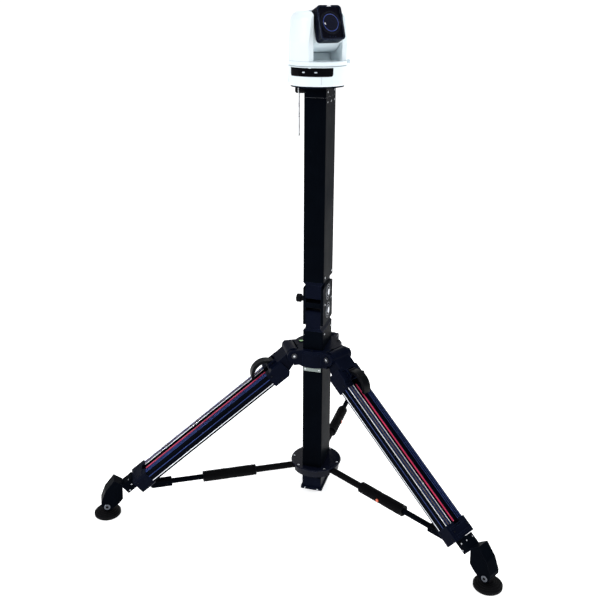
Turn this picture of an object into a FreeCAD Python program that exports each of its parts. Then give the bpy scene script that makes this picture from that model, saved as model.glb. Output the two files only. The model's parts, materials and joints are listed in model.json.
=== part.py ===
"""Pan-tilt-zoom camera on a jointed column, carried by a three-leg studio tripod.

Millimetres. +Z is up, the floor is z = 0 and the origin is on the floor under the column's axis.
The column's narrow front face looks along -Y. The legs stand at 90, 210 and 330 degrees.
Each sub-part is written to parts/NODE.step.
"""
import FreeCAD, Part
import math
import os

V = FreeCAD.Vector
X_AXIS = V(1, 0, 0)
Y_AXIS = V(0, 1, 0)
Z_AXIS = V(0, 0, 1)
ORIGIN = V(0, 0, 0)

# ---------------------------------------------------------------- driving dimensions
COLUMN_WIDTH = 60.0          # along X
COLUMN_DEPTH = 107.0         # along Y
COLUMN_WALL = 3.0
COLUMN_CORNER = 4.0          # outer corner radius
FOOT_CAP_BOTTOM = 21.0
LOWER_COLUMN_BOTTOM = 62.0
LOWER_COLUMN_TOP = 555.0
LINK_PIN_LOW = 606.2         # height of the lower fold pin
LINK_PIN_HIGH = 662.6        # height of the upper fold pin
FOLD_RELIEF = 12.5           # degrees the link is relieved for each way
UPPER_COLUMN_BOTTOM = 704.5
UPPER_COLUMN_TOP = 1215.0
PLATE_TOP = 1243.0           # face the camera stands on
CAMERA_RADIUS = 77.0         # base of the camera
CAMERA_Y = -30.0             # the pan axis stands this far in front of the column's axis
CAMERA_BASE_HEIGHT = 53.0
YOKE_HEIGHT = 132.0
TILT_ABOVE_PLATE = 135.0
PAN_REST = 45.0              # degrees the head is turned at rest
TILT_REST = 20.0             # degrees the lens looks up at rest
LEG_AZIMUTHS = {"back": 90.0, "left": 210.0, "right": 330.0}
HINGE_RADIUS = 81.0          # leg pivots, from the column's axis
HINGE_HEIGHT = 481.0
LEG_SLOPE = 37.0             # degrees below level
TUBE_WIDTH = 26.0            # each of a leg's two tubes
TUBE_HEIGHT = 40.0
TUBE_GAP = 24.0              # between the two tubes
TUBE_WALL = 2.5
LEG_DROP = 20.0              # tube axis below the hinge, square to the leg
TUBE_START = 60.0            # along the leg from the hinge
TUBE_END = 574.0
SOCKET_LENGTH = 40.0         # how far the casting covers the tubes
COLLAR_START = 560.0
COLLAR_END = 606.0
ANKLE_START = 640.0
PAD_RADIUS = 39.0
DISC_RADIUS = 78.0
DISC_TOP = 102.0
ARM_PIVOT_RADIUS = 66.0
ARM_PIVOT_HEIGHT = 89.0
BRACKET_RADIUS = 508.0       # outer end of each spreader arm at rest
BRACKET_HEIGHT = 85.0
ARM_TUBE_RADIUS = 10.0       # inner spreader tube
ARM_ROD_RADIUS = 8.0         # outer spreader rod, which slides in the tube
GRIP_RADIUS = 16.0
GRIP_START = 130.0           # along the arm from its pivot
GRIP_END = 290.0
PIN_RADIUS = 6.0             # leg and fold pins
RUNNING = 0.05               # radial clearance of a turning pin
SLIDING = 0.3                # clearance of faces that slide past each other

# ---------------------------------------------------------------- shape helpers


def block(x0, x1, y0, y1, z0, z1):
    """Box between two corners."""
    return Part.makeBox(x1 - x0, y1 - y0, z1 - z0, V(x0, y0, z0))


def rod(radius, start, end):
    """Cylinder from one point to another."""
    return Part.makeCylinder(radius, (end - start).Length, start, end - start)


def along(shape, axis):
    """Edges of a shape that are straight and parallel to an axis."""
    found = []
    for edge in shape.Edges:
        if isinstance(edge.Curve, Part.Line):
            span = edge.Vertexes[1].Point - edge.Vertexes[0].Point
            if abs(abs(span.normalize() * axis) - 1) < 1e-6:
                found.append(edge)
    return found


def rounded(shape, radius, axis):
    """Shape with its edges along an axis rounded."""
    return shape.makeFillet(radius, along(shape, axis))


def tower(width, depth, z0, z1, corner):
    """Upright rounded bar centred on the column's axis."""
    bar = block(-width / 2, width / 2, -depth / 2, depth / 2, z0, z1)
    return rounded(bar, corner, Z_AXIS)


def prism(points, y0, y1):
    """Closed outline of (x, z) points drawn out along Y."""
    corners = [V(x, y0, z) for x, z in points]
    face = Part.Face(Part.makePolygon(corners + corners[:1]))
    return face.extrude(V(0, y1 - y0, 0))


def bevelled_end(z_full, z_end, inset):
    """Column end that narrows in X from its full width to a smaller one."""
    half = COLUMN_WIDTH / 2
    return prism([(-half, z_full), (half, z_full), (half - inset, z_end), (inset - half, z_end)],
                 -COLUMN_DEPTH / 2, COLUMN_DEPTH / 2)


def turned(shape, base, axis, degrees):
    """Copy of a shape turned about a line."""
    copy = shape.copy()
    copy.rotate(base, axis, degrees)
    return copy


# ---------------------------------------------------------------- column and crown
HALF_W = COLUMN_WIDTH / 2
HALF_D = COLUMN_DEPTH / 2
CROWN_BOTTOM = 445.0
CROWN_TOP = 497.0
CROWN_HUB_RADIUS = 70.0
EAR_OUTER = 42.0             # half the width of a lobe
EAR_INNER = 31.0             # half the gap between a lobe's two ears
EAR_REACH = 19.0             # ear radius around the pivot
LEG_ROOT_HALF = EAR_INNER - SLIDING
LEG_ROOT_RADIUS = 20.0
ROOT_POCKET_RADIUS = LEG_ROOT_RADIUS + 3.0
LOBE_RIM = 6.0               # the lobes stop this far above the hub's underside
VIAL_RADIUS = 7.0
VIAL_X = -50.0
VIAL_DEPTH = 6.0
BOLT_HEAD_RADIUS = 8.0
BOLT_HEAD_HEIGHT = 3.0


def make_crown():
    """Three-lobed casting that clamps the column and carries the leg pivots."""
    crown = rod(CROWN_HUB_RADIUS, V(0, 0, CROWN_BOTTOM), V(0, 0, CROWN_TOP))
    for azimuth in LEG_AZIMUTHS.values():
        lobe = block(20, HINGE_RADIUS, -EAR_OUTER, EAR_OUTER, CROWN_BOTTOM + LOBE_RIM, CROWN_TOP)
        ear = rod(EAR_REACH, V(HINGE_RADIUS, -EAR_OUTER, HINGE_HEIGHT),
                  V(HINGE_RADIUS, EAR_OUTER, HINGE_HEIGHT))
        top_cut = block(0, 200, -EAR_OUTER, EAR_OUTER, CROWN_TOP, CROWN_TOP + 40)
        lobe = lobe.fuse(ear).cut(top_cut)
        crown = crown.fuse(turned(lobe, ORIGIN, Z_AXIS, azimuth))
    crown = crown.removeSplitter()
    for azimuth in LEG_AZIMUTHS.values():
        pocket = rod(ROOT_POCKET_RADIUS, V(HINGE_RADIUS, -EAR_INNER, HINGE_HEIGHT),
                     V(HINGE_RADIUS, EAR_INNER, HINGE_HEIGHT))
        mouth = block(HINGE_RADIUS - ROOT_POCKET_RADIUS, HINGE_RADIUS + 60, -EAR_INNER, EAR_INNER,
                      CROWN_BOTTOM - 1, HINGE_HEIGHT)
        roof = block(HINGE_RADIUS, HINGE_RADIUS + 60, -EAR_INNER, EAR_INNER, HINGE_HEIGHT - 1, CROWN_TOP + 1)
        bore = rod(PIN_RADIUS, V(HINGE_RADIUS, -EAR_OUTER - 1, HINGE_HEIGHT),
                   V(HINGE_RADIUS, EAR_OUTER + 1, HINGE_HEIGHT))
        cut = pocket.fuse([mouth, roof, bore])
        crown = crown.cut(turned(cut, ORIGIN, Z_AXIS, azimuth))
    crown = crown.cut(tower(COLUMN_WIDTH, COLUMN_DEPTH, CROWN_BOTTOM - 1, CROWN_TOP + 1, COLUMN_CORNER))
    vial = rod(VIAL_RADIUS, V(VIAL_X, 0, CROWN_TOP - VIAL_DEPTH), V(VIAL_X, 0, CROWN_TOP + 1))
    return crown.cut(vial)


def make_vial():
    """Round bubble level set into the crown's top."""
    body = rod(VIAL_RADIUS, V(VIAL_X, 0, CROWN_TOP - VIAL_DEPTH), V(VIAL_X, 0, CROWN_TOP + 1.0))
    return body.makeChamfer(0.8, [body.Edges[0]])


def pin_with_heads(radius, head_radius, head, half_length, base, axis):
    """Pin through a fork, with a low round head outside each cheek."""
    far = V(axis).multiply(half_length)
    shank = rod(radius, base - far, base + far)
    cap = V(axis).multiply(half_length + head)
    heads = [rod(head_radius, base + far, base + cap), rod(head_radius, base - cap, base - far)]
    return shank.fuse(heads).removeSplitter()


def make_leg_bolts():
    """The three pivot bolts that the legs hang on."""
    bolt = pin_with_heads(PIN_RADIUS, BOLT_HEAD_RADIUS, BOLT_HEAD_HEIGHT, EAR_OUTER,
                          V(HINGE_RADIUS, 0, HINGE_HEIGHT), Y_AXIS)
    return Part.makeCompound([turned(bolt, ORIGIN, Z_AXIS, a) for a in LEG_AZIMUTHS.values()])


def make_tube(z0, z1):
    """Rounded rectangular column tube."""
    outer = tower(COLUMN_WIDTH, COLUMN_DEPTH, z0, z1, COLUMN_CORNER)
    inner = tower(COLUMN_WIDTH - 2 * COLUMN_WALL, COLUMN_DEPTH - 2 * COLUMN_WALL, z0 - 1, z1 + 1,
                  COLUMN_CORNER - COLUMN_WALL)
    return outer.cut(inner)


INSIDE_W = COLUMN_WIDTH - 2 * COLUMN_WALL
INSIDE_D = COLUMN_DEPTH - 2 * COLUMN_WALL
INSIDE_CORNER = COLUMN_CORNER - COLUMN_WALL
PLUG_LENGTH = 25.0           # how far an end cap goes into its tube


def make_column_foot():
    """Cap closing the column's lower end, with a wider sole plate."""
    lip = 4.0
    lip_height = 8.0
    cap = tower(COLUMN_WIDTH, COLUMN_DEPTH, FOOT_CAP_BOTTOM, LOWER_COLUMN_BOTTOM, COLUMN_CORNER)
    sole = tower(COLUMN_WIDTH + 2 * lip, COLUMN_DEPTH + 2 * lip, FOOT_CAP_BOTTOM,
                 FOOT_CAP_BOTTOM + lip_height, COLUMN_CORNER)
    plug = tower(INSIDE_W, INSIDE_D, LOWER_COLUMN_BOTTOM, LOWER_COLUMN_BOTTOM + PLUG_LENGTH, INSIDE_CORNER)
    return cap.fuse([sole, plug]).removeSplitter()


STOP_HALF = 26.0
STOP_THICKNESS = 2.5
STOP_HEIGHTS = (428.0, 441.0)


def make_stop_plate():
    """Metal height-stop plate on the column's front face, just below the crown."""
    plate = block(-STOP_HALF, STOP_HALF, -HALF_D - STOP_THICKNESS, -HALF_D, *STOP_HEIGHTS)
    return plate.makeChamfer(1.0, along(plate, Y_AXIS))


# ---------------------------------------------------------------- fold link
TONGUE_HALF = HALF_W - 8.0   # the tongues are 8 mm narrower on each side than the column
CHEEK_INNER = TONGUE_HALF + SLIDING
LINK_DEPTH = 104.0
GROOVE = 8.5                 # height of each bevel in the groove beside the link
TONGUE_BELOW_PIN = 10.0
WEB_HALF_DEPTH = 12.0
WEB_HALF_HEIGHT = 13.0
CROSS_HALF_HEIGHT = 7.0      # the web's thin part, which reaches the front and the back
LINK_MIDDLE = (LINK_PIN_LOW + LINK_PIN_HIGH) / 2
LINK_BOTTOM = LOWER_COLUMN_TOP + 2 * GROOVE
LINK_TOP = UPPER_COLUMN_BOTTOM - 2 * GROOVE
KNOB_STEM_RADIUS = 5.0
FOLD_PIN_HEAD_RADIUS = 9.0
FOLD_PIN_HEAD_HEIGHT = 2.5
FOLD_KNOB_RADIUS = 12.5


def make_hinge_cap(z_tube, z_pin):
    """End cap of a column tube with the tongue that turns on a fold pin."""
    up = 1 if z_pin > z_tube else -1
    plug_end = z_tube - up * PLUG_LENGTH
    plug = tower(INSIDE_W, INSIDE_D, min(z_tube, plug_end), max(z_tube, plug_end), INSIDE_CORNER)
    bevel = bevelled_end(z_tube, z_tube + up * GROOVE, HALF_W - TONGUE_HALF)
    tip = z_pin + up * TONGUE_BELOW_PIN
    tongue = block(-TONGUE_HALF, TONGUE_HALF, -LINK_DEPTH / 2, LINK_DEPTH / 2,
                   min(z_tube + up, tip), max(z_tube + up, tip))
    tongue = rounded(tongue, 6.0, X_AXIS)
    cap = plug.fuse([bevel, tongue]).removeSplitter()
    bore = rod(PIN_RADIUS + RUNNING, V(-HALF_W, 0, z_pin), V(HALF_W, 0, z_pin))
    return cap.cut(bore)


def make_fold_link():
    """Two cheeks and the web between them, with a pin at each end."""
    bevel = HALF_W - GROOVE
    low = LINK_BOTTOM - GROOVE
    high = LINK_TOP + GROOVE
    depth = LINK_DEPTH / 2
    body = prism([(-bevel, low), (bevel, low), (HALF_W, LINK_BOTTOM), (HALF_W, LINK_TOP), (bevel, high),
                  (-bevel, high), (-HALF_W, LINK_TOP), (-HALF_W, LINK_BOTTOM)], -depth, depth)
    body = body.cut(block(-CHEEK_INNER, CHEEK_INNER, -depth - 1, depth + 1, low - 1, high + 1))
    web = block(-CHEEK_INNER, CHEEK_INNER, -WEB_HALF_DEPTH, WEB_HALF_DEPTH,
                LINK_MIDDLE - WEB_HALF_HEIGHT, LINK_MIDDLE + WEB_HALF_HEIGHT)
    cross = block(-CHEEK_INNER, CHEEK_INNER, -depth, depth,
                  LINK_MIDDLE - CROSS_HALF_HEIGHT, LINK_MIDDLE + CROSS_HALF_HEIGHT)
    body = body.fuse([web, cross]).removeSplitter()
    for z_pin, z_end, out in ((LINK_PIN_LOW, low, -1), (LINK_PIN_HIGH, high, 1)):
        body = body.cut(rod(PIN_RADIUS, V(-HALF_W - 1, 0, z_pin), V(HALF_W + 1, 0, z_pin)))
        beyond = z_end + out * COLUMN_WIDTH
        past = block(-COLUMN_WIDTH, COLUMN_WIDTH, -COLUMN_DEPTH, COLUMN_DEPTH,
                     min(z_end, beyond), max(z_end, beyond))
        for way in (-1, 1):
            body = body.cut(turned(past, V(0, 0, z_pin), X_AXIS, way * FOLD_RELIEF))
    stem_bore = rod(KNOB_STEM_RADIUS + RUNNING, V(-HALF_W - 1, 0, LINK_MIDDLE), V(0, 0, LINK_MIDDLE))
    return body.cut(stem_bore)


def make_fold_pins():
    """The two pins of the fold link."""
    pins = [pin_with_heads(PIN_RADIUS, FOLD_PIN_HEAD_RADIUS, FOLD_PIN_HEAD_HEIGHT, HALF_W, V(0, 0, z), X_AXIS)
            for z in (LINK_PIN_LOW, LINK_PIN_HIGH)]
    return Part.makeCompound(pins)


def grooved_knob(x_outer, x_inner, radius, z, flutes):
    """Fluted hand knob on an axis along X, its outer face rounded."""
    knob = rod(radius, V(x_outer, 0, z), V(x_inner, 0, z))
    rims = [e for e in knob.Edges if isinstance(e.Curve, Part.Circle)]
    knob = knob.makeFillet(2.5, rims)
    for number in range(flutes):
        angle = 2 * math.pi * number / flutes
        reach = radius + 1.2
        y = reach * math.cos(angle)
        dz = reach * math.sin(angle)
        knob = knob.cut(rod(2.2, V(x_outer - 1, y, z + dz), V(x_inner + 1, y, z + dz)))
    return knob


FOLD_KNOB_OUTER = -64.0
FOLD_KNOB_INNER = -49.0


def make_fold_knob():
    """Lock knob on the link's left cheek."""
    head = grooved_knob(FOLD_KNOB_OUTER, FOLD_KNOB_INNER, FOLD_KNOB_RADIUS, LINK_MIDDLE, 10)
    collar = rod(8.0, V(FOLD_KNOB_INNER - 1, 0, LINK_MIDDLE), V(-HALF_W - SLIDING, 0, LINK_MIDDLE))
    stem = rod(KNOB_STEM_RADIUS, V(-HALF_W - 1, 0, LINK_MIDDLE), V(-2, 0, LINK_MIDDLE))
    return head.fuse([collar, stem]).removeSplitter()


# ---------------------------------------------------------------- telescoping mast
MAST_WIDTH = 46.0
MAST_DEPTH = 90.0
MAST_BOTTOM = 760.0
MAST_WALL = 3.0
MAST_CORNER = 3.0
PLATE_GAP = 0.5              # between the column's top and the camera plate
BUSH_HEIGHT = 24.0
BUSH_TOPS = (UPPER_COLUMN_TOP, UPPER_COLUMN_TOP - 160.0)


def make_bushes():
    """Plastic guides between the outer column and the inner mast."""
    rings = []
    for top in BUSH_TOPS:
        ring = tower(INSIDE_W, INSIDE_D, top - BUSH_HEIGHT, top, INSIDE_CORNER)
        hole = tower(MAST_WIDTH + 2 * SLIDING, MAST_DEPTH + 2 * SLIDING, top - BUSH_HEIGHT - 1, top + 1,
                     MAST_CORNER)
        rings.append(ring.cut(hole))
    return Part.makeCompound(rings)


def make_mast():
    """Inner mast that slides up out of the column."""
    outer = tower(MAST_WIDTH, MAST_DEPTH, MAST_BOTTOM, UPPER_COLUMN_TOP + PLATE_GAP, MAST_CORNER)
    inner = tower(MAST_WIDTH - 2 * MAST_WALL, MAST_DEPTH - 2 * MAST_WALL, MAST_BOTTOM - 1,
                  UPPER_COLUMN_TOP - 20, 1.0)
    return outer.cut(inner)


PLATE_KNOB_Z = (UPPER_COLUMN_TOP + PLATE_TOP) / 2
PLATE_KNOB_OUTER = -68.0
PLATE_KNOB_INNER = -44.0
PLATE_STEM_RADIUS = 4.0
PLATE_KNOB_RADIUS = 9.5
TAG_GROOVE = (-60.5, -56.5)
TAG_GROOVE_RADIUS = 7.0


def make_camera_plate():
    """Head block of the mast: the camera stands on it."""
    plate = tower(COLUMN_WIDTH, COLUMN_DEPTH, UPPER_COLUMN_TOP + PLATE_GAP, PLATE_TOP, COLUMN_CORNER)
    bore = rod(PLATE_STEM_RADIUS + RUNNING, V(-HALF_W - 1, 0, PLATE_KNOB_Z), V(-8, 0, PLATE_KNOB_Z))
    return plate.cut(bore)


def make_plate_knob():
    """Clamp knob on the left of the camera plate, grooved for the hanging tag."""
    head = grooved_knob(PLATE_KNOB_OUTER, PLATE_KNOB_INNER, PLATE_KNOB_RADIUS, PLATE_KNOB_Z, 8)
    groove = rod(20, V(TAG_GROOVE[0], 0, PLATE_KNOB_Z), V(TAG_GROOVE[1], 0, PLATE_KNOB_Z))
    groove = groove.cut(rod(TAG_GROOVE_RADIUS, V(TAG_GROOVE[0] - 1, 0, PLATE_KNOB_Z),
                            V(TAG_GROOVE[1] + 1, 0, PLATE_KNOB_Z)))
    stem = rod(PLATE_STEM_RADIUS, V(PLATE_KNOB_INNER - 1, 0, PLATE_KNOB_Z), V(-10, 0, PLATE_KNOB_Z))
    return head.cut(groove).fuse(stem).removeSplitter()


TAG_LENGTH = 122.0
TAG_WIDTH = 7.0


def make_tag():
    """Thin hanging tag, looped round the plate knob's groove."""
    x0 = TAG_GROOVE[0] + 1.0
    x1 = TAG_GROOVE[1] - 1.0
    ring = rod(TAG_GROOVE_RADIUS + 2.4, V(x0, 0, PLATE_KNOB_Z), V(x1, 0, PLATE_KNOB_Z))
    hole = rod(TAG_GROOVE_RADIUS + 0.6, V(x0 - 1, 0, PLATE_KNOB_Z), V(x1 + 1, 0, PLATE_KNOB_Z))
    strip = block(x0, x1, -TAG_WIDTH / 2, TAG_WIDTH / 2, PLATE_KNOB_Z - TAG_LENGTH,
                  PLATE_KNOB_Z - TAG_GROOVE_RADIUS - 1.5)
    strip = rounded(strip, 2.0, X_AXIS)
    return ring.fuse(strip).cut(hole).removeSplitter()


# ---------------------------------------------------------------- camera
BASE_PLATE_HEIGHT = 4.0
BASE_BOTTOM = PLATE_TOP + BASE_PLATE_HEIGHT
BASE_TOP = PLATE_TOP + CAMERA_BASE_HEIGHT
SHELL_WALL = 3.0
REAR_HALF = 62.0             # half width of the rear connector box
REAR_Y = 95.0                # back face of the connector box
REAR_SPLIT = 72.0            # the connector block starts here
YOKE_GAP = 1.2
YOKE_BOTTOM = BASE_TOP + YOKE_GAP
YOKE_FLOOR = BASE_TOP + 12.0
YOKE_SLOT_HALF = 42.0
ARM_FRONT = 52.0             # the yoke's arms end this far in front of the pan axis
HEAD_HALF = 40.0
TILT_Z = PLATE_TOP + TILT_ABOVE_PLATE
PAN_BASE = V(0, CAMERA_Y, 0)
BEARING_RADIUS = 32.0


def base_outline(shrink, z0, z1):
    """Round base with a straight-sided rear, drawn in by a margin."""
    drum = rod(CAMERA_RADIUS - shrink, V(0, CAMERA_Y, z0), V(0, CAMERA_Y, z1))
    rear = block(-REAR_HALF + shrink, REAR_HALF - shrink, CAMERA_Y, REAR_SPLIT - shrink, z0, z1)
    return drum.fuse(rear).removeSplitter()


def make_base_shell():
    """Fixed lower shell of the camera, open underneath."""
    outer = base_outline(0, BASE_BOTTOM, BASE_TOP)
    lowest = [e for e in outer.Edges if e.BoundBox.ZMax < BASE_BOTTOM + 0.01]
    outer = outer.makeFillet(5.0, lowest)
    inner = base_outline(SHELL_WALL, BASE_BOTTOM - 1, BASE_TOP - SHELL_WALL)
    shell = outer.cut(inner)
    return shell.cut(rod(BEARING_RADIUS, V(0, CAMERA_Y, BASE_BOTTOM), V(0, CAMERA_Y, BASE_TOP + 1)))


def make_base_plate():
    """Metal bottom plate of the camera."""
    inset = SHELL_WALL + 4.0
    plate = base_outline(inset, PLATE_TOP, BASE_BOTTOM)
    boss_rim = base_outline(SHELL_WALL, BASE_BOTTOM, BASE_BOTTOM + 2.0)
    return plate.fuse(boss_rim).removeSplitter()


WINDOW_ANGLE = 46.0
WINDOW_BOTTOM = BASE_TOP - 24.0
WINDOW_TOP = BASE_TOP - 2.5
WINDOW_PROUD = 0.8
WINDOW_SEAT = 0.1            # bond line between window and shell


def make_window():
    """Dark receiver window round the front of the base."""
    start = V(0, CAMERA_Y, WINDOW_BOTTOM)
    height = WINDOW_TOP - WINDOW_BOTTOM
    ring = Part.makeCylinder(CAMERA_RADIUS + WINDOW_PROUD, height, start, Z_AXIS, 2 * WINDOW_ANGLE)
    ring = ring.cut(rod(CAMERA_RADIUS + WINDOW_SEAT, start - Z_AXIS, start + V(0, 0, height + 1)))
    return turned(ring, PAN_BASE, Z_AXIS, -90 - WINDOW_ANGLE)


def make_io_block():
    """Rear connector block with its recessed socket panel."""
    chamfer = 14.0
    z0 = BASE_BOTTOM + 2.0
    z1 = BASE_TOP + 8.0
    outline = [V(-REAR_HALF, REAR_SPLIT, 0), V(REAR_HALF, REAR_SPLIT, 0),
               V(REAR_HALF, REAR_Y - chamfer, 0),
               V(REAR_HALF - chamfer * 0.6, REAR_Y, 0), V(chamfer * 0.6 - REAR_HALF, REAR_Y, 0),
               V(-REAR_HALF, REAR_Y - chamfer, 0)]
    face = Part.Face(Part.makePolygon(outline + outline[:1]))
    body = face.extrude(V(0, 0, z1 - z0))
    body.translate(V(0, 0, z0))
    recess = block(-REAR_HALF + 16, REAR_HALF - 16, REAR_Y - 9, REAR_Y + 1, z0 + 8, z1 - 12)
    return body.cut(recess)


def make_pan_bearing():
    """Turntable bearing that carries the yoke."""
    ring = rod(BEARING_RADIUS, V(0, CAMERA_Y, BASE_TOP - 16), V(0, CAMERA_Y, BASE_TOP))
    return ring.cut(rod(BEARING_RADIUS - 12, V(0, CAMERA_Y, BASE_TOP - 17), V(0, CAMERA_Y, BASE_TOP + 1)))


TILT_SHAFT_RADIUS = 9.0
SHAFT_BORE_RADIUS = TILT_SHAFT_RADIUS + RUNNING


def at_rest_pan(shape):
    """Turn a piece drawn facing -Y to the head's rest direction."""
    return turned(shape, PAN_BASE, Z_AXIS, PAN_REST)


def make_yoke():
    """Turning body with two arms that hold the head."""
    crown_z = YOKE_BOTTOM + YOKE_HEIGHT
    waist = 58.0
    shoulder = 26.0
    lower = CAMERA_RADIUS - 1.0
    upper = CAMERA_RADIUS - 5.0
    profile = [V(0, 0, YOKE_BOTTOM), V(lower, 0, YOKE_BOTTOM), V(lower, 0, YOKE_BOTTOM + waist),
               V(upper, 0, crown_z - shoulder)]
    ring = shoulder * 0.62
    mid = V(upper - shoulder + ring * 1.08, 0, crown_z - shoulder + ring * 1.2)
    top_point = V(upper - shoulder, 0, crown_z)
    edges = [Part.LineSegment(profile[i], profile[i + 1]).toShape() for i in range(3)]
    edges.append(Part.Arc(profile[3], mid, top_point).toShape())
    edges.append(Part.LineSegment(top_point, V(0, 0, crown_z)).toShape())
    edges.append(Part.LineSegment(V(0, 0, crown_z), profile[0]).toShape())
    solid = Part.Face(Part.Wire(edges)).revolve(ORIGIN, Z_AXIS, 360)
    solid.translate(PAN_BASE)
    slot = block(-YOKE_SLOT_HALF, YOKE_SLOT_HALF, CAMERA_Y - 100, CAMERA_Y + 100, YOKE_FLOOR, crown_z + 5)
    front = block(-100, 100, CAMERA_Y - 100, CAMERA_Y - ARM_FRONT, YOKE_FLOOR, crown_z + 5)
    hub = rod(BEARING_RADIUS - 12 - SLIDING, V(0, CAMERA_Y, BASE_TOP - 14), V(0, CAMERA_Y, YOKE_BOTTOM + 1))
    yoke = solid.cut(slot).cut(front).fuse(hub).removeSplitter()
    for side in (-1, 1):
        start = V(side * (YOKE_SLOT_HALF - 1), CAMERA_Y, TILT_Z)
        end = V(side * (YOKE_SLOT_HALF + 14), CAMERA_Y, TILT_Z)
        yoke = yoke.cut(rod(SHAFT_BORE_RADIUS, start, end))
    return at_rest_pan(yoke)


def at_rest_tilt(shape):
    """Tilt a head piece up to its rest angle, then turn it with the yoke."""
    return at_rest_pan(turned(shape, V(0, CAMERA_Y, TILT_Z), X_AXIS, -TILT_REST))


HEAD_BACK_RADIUS = 50.0
BEZEL_BACK = 42.0            # in front of the tilt axis
BEZEL_FRONT = 70.0
BEZEL_HALF_WIDTH = 35.0
BEZEL_HALF_HEIGHT = 43.0
BEZEL_CORNER = 10.0
FRONT_RECESS = 3.0


def make_tilt_shafts():
    """Stub shafts that carry the head in the yoke's arms."""
    shafts = []
    for side in (-1, 1):
        start = V(side * HEAD_HALF, CAMERA_Y, TILT_Z)
        end = V(side * (YOKE_SLOT_HALF + 13), CAMERA_Y, TILT_Z)
        shafts.append(rod(TILT_SHAFT_RADIUS, start, end))
    return at_rest_tilt(Part.makeCompound(shafts))


def make_head_housing():
    """White head shell: round at the back, square at the front."""
    drum = rod(HEAD_BACK_RADIUS, V(-HEAD_HALF, CAMERA_Y, TILT_Z), V(HEAD_HALF, CAMERA_Y, TILT_Z))
    nose = block(-HEAD_HALF, HEAD_HALF, CAMERA_Y - BEZEL_BACK, CAMERA_Y,
                 TILT_Z - BEZEL_HALF_HEIGHT + 2, TILT_Z + BEZEL_HALF_HEIGHT - 2)
    front = block(-HEAD_HALF, HEAD_HALF, CAMERA_Y - 100, CAMERA_Y - BEZEL_BACK, TILT_Z - 100, TILT_Z + 100)
    head = drum.cut(front).fuse(nose).removeSplitter()
    cavity = block(-BEZEL_HALF_WIDTH + 7, BEZEL_HALF_WIDTH - 7, CAMERA_Y - BEZEL_BACK - 1, CAMERA_Y + 20,
                   TILT_Z - 28, TILT_Z + 28)
    return at_rest_tilt(head.cut(cavity))


def make_bezel():
    """Black front frame of the head."""
    y0 = CAMERA_Y - BEZEL_FRONT
    y1 = CAMERA_Y - BEZEL_BACK
    frame = block(-BEZEL_HALF_WIDTH, BEZEL_HALF_WIDTH, y0, y1,
                  TILT_Z - BEZEL_HALF_HEIGHT, TILT_Z + BEZEL_HALF_HEIGHT)
    frame = rounded(frame, BEZEL_CORNER, Y_AXIS)
    edge = 5.0
    opening = block(-BEZEL_HALF_WIDTH + edge, BEZEL_HALF_WIDTH - edge, y0 - 1, y1 + 1,
                    TILT_Z - BEZEL_HALF_HEIGHT + edge, TILT_Z + BEZEL_HALF_HEIGHT - edge)
    opening = rounded(opening, BEZEL_CORNER - edge, Y_AXIS)
    return at_rest_tilt(frame.cut(opening))


def make_lens_glass():
    """Dark glass panel set back inside the front frame."""
    edge = 5.0
    y0 = CAMERA_Y - BEZEL_FRONT + FRONT_RECESS
    panel = block(-BEZEL_HALF_WIDTH + edge, BEZEL_HALF_WIDTH - edge, y0, y0 + 2.5,
                  TILT_Z - BEZEL_HALF_HEIGHT + edge, TILT_Z + BEZEL_HALF_HEIGHT - edge)
    return at_rest_tilt(rounded(panel, BEZEL_CORNER - edge, Y_AXIS))


LENS_RADIUS = 26.0


def make_lens_barrel():
    """Zoom lens barrel behind the glass."""
    front = CAMERA_Y - BEZEL_FRONT + FRONT_RECESS + 3.5
    barrel = rod(LENS_RADIUS, V(0, CAMERA_Y + 18, TILT_Z), V(0, front, TILT_Z))
    bore = rod(LENS_RADIUS - 5, V(0, front - 1, TILT_Z), V(0, front + 14, TILT_Z))
    return at_rest_tilt(barrel.cut(bore))


# ---------------------------------------------------------------- legs
TUBE_OUT = TUBE_GAP / 2 + TUBE_WIDTH
TUBE_LOW = -LEG_DROP - TUBE_HEIGHT / 2
TUBE_HIGH = -LEG_DROP + TUBE_HEIGHT / 2
CASTING_HALF = TUBE_OUT + 1.5
CASTING_MARGIN = 3.0
BAR_HALF = TUBE_GAP / 2 - 1.5
BAR_LOW = -34.0
BAR_HIGH = -9.0
STAGE_HALF = 22.0
STAGE_LOW = -24.0
STAGE_HIGH = 9.0
STRIPE_HALF = 2.0
STRIPE_LOW = -6.0
STRIPE_HIGH = -1.5
LEVER_PIVOT = (66.0, 14.0)
LEVER_PIN_RADIUS = 3.0


def on_leg(shape, azimuth):
    """Place a piece drawn with the leg along +X, the hinge at the origin."""
    piece = turned(shape, ORIGIN, Y_AXIS, LEG_SLOPE)
    piece.translate(V(HINGE_RADIUS, 0, HINGE_HEIGHT))
    piece.rotate(ORIGIN, Z_AXIS, azimuth)
    return piece


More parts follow.
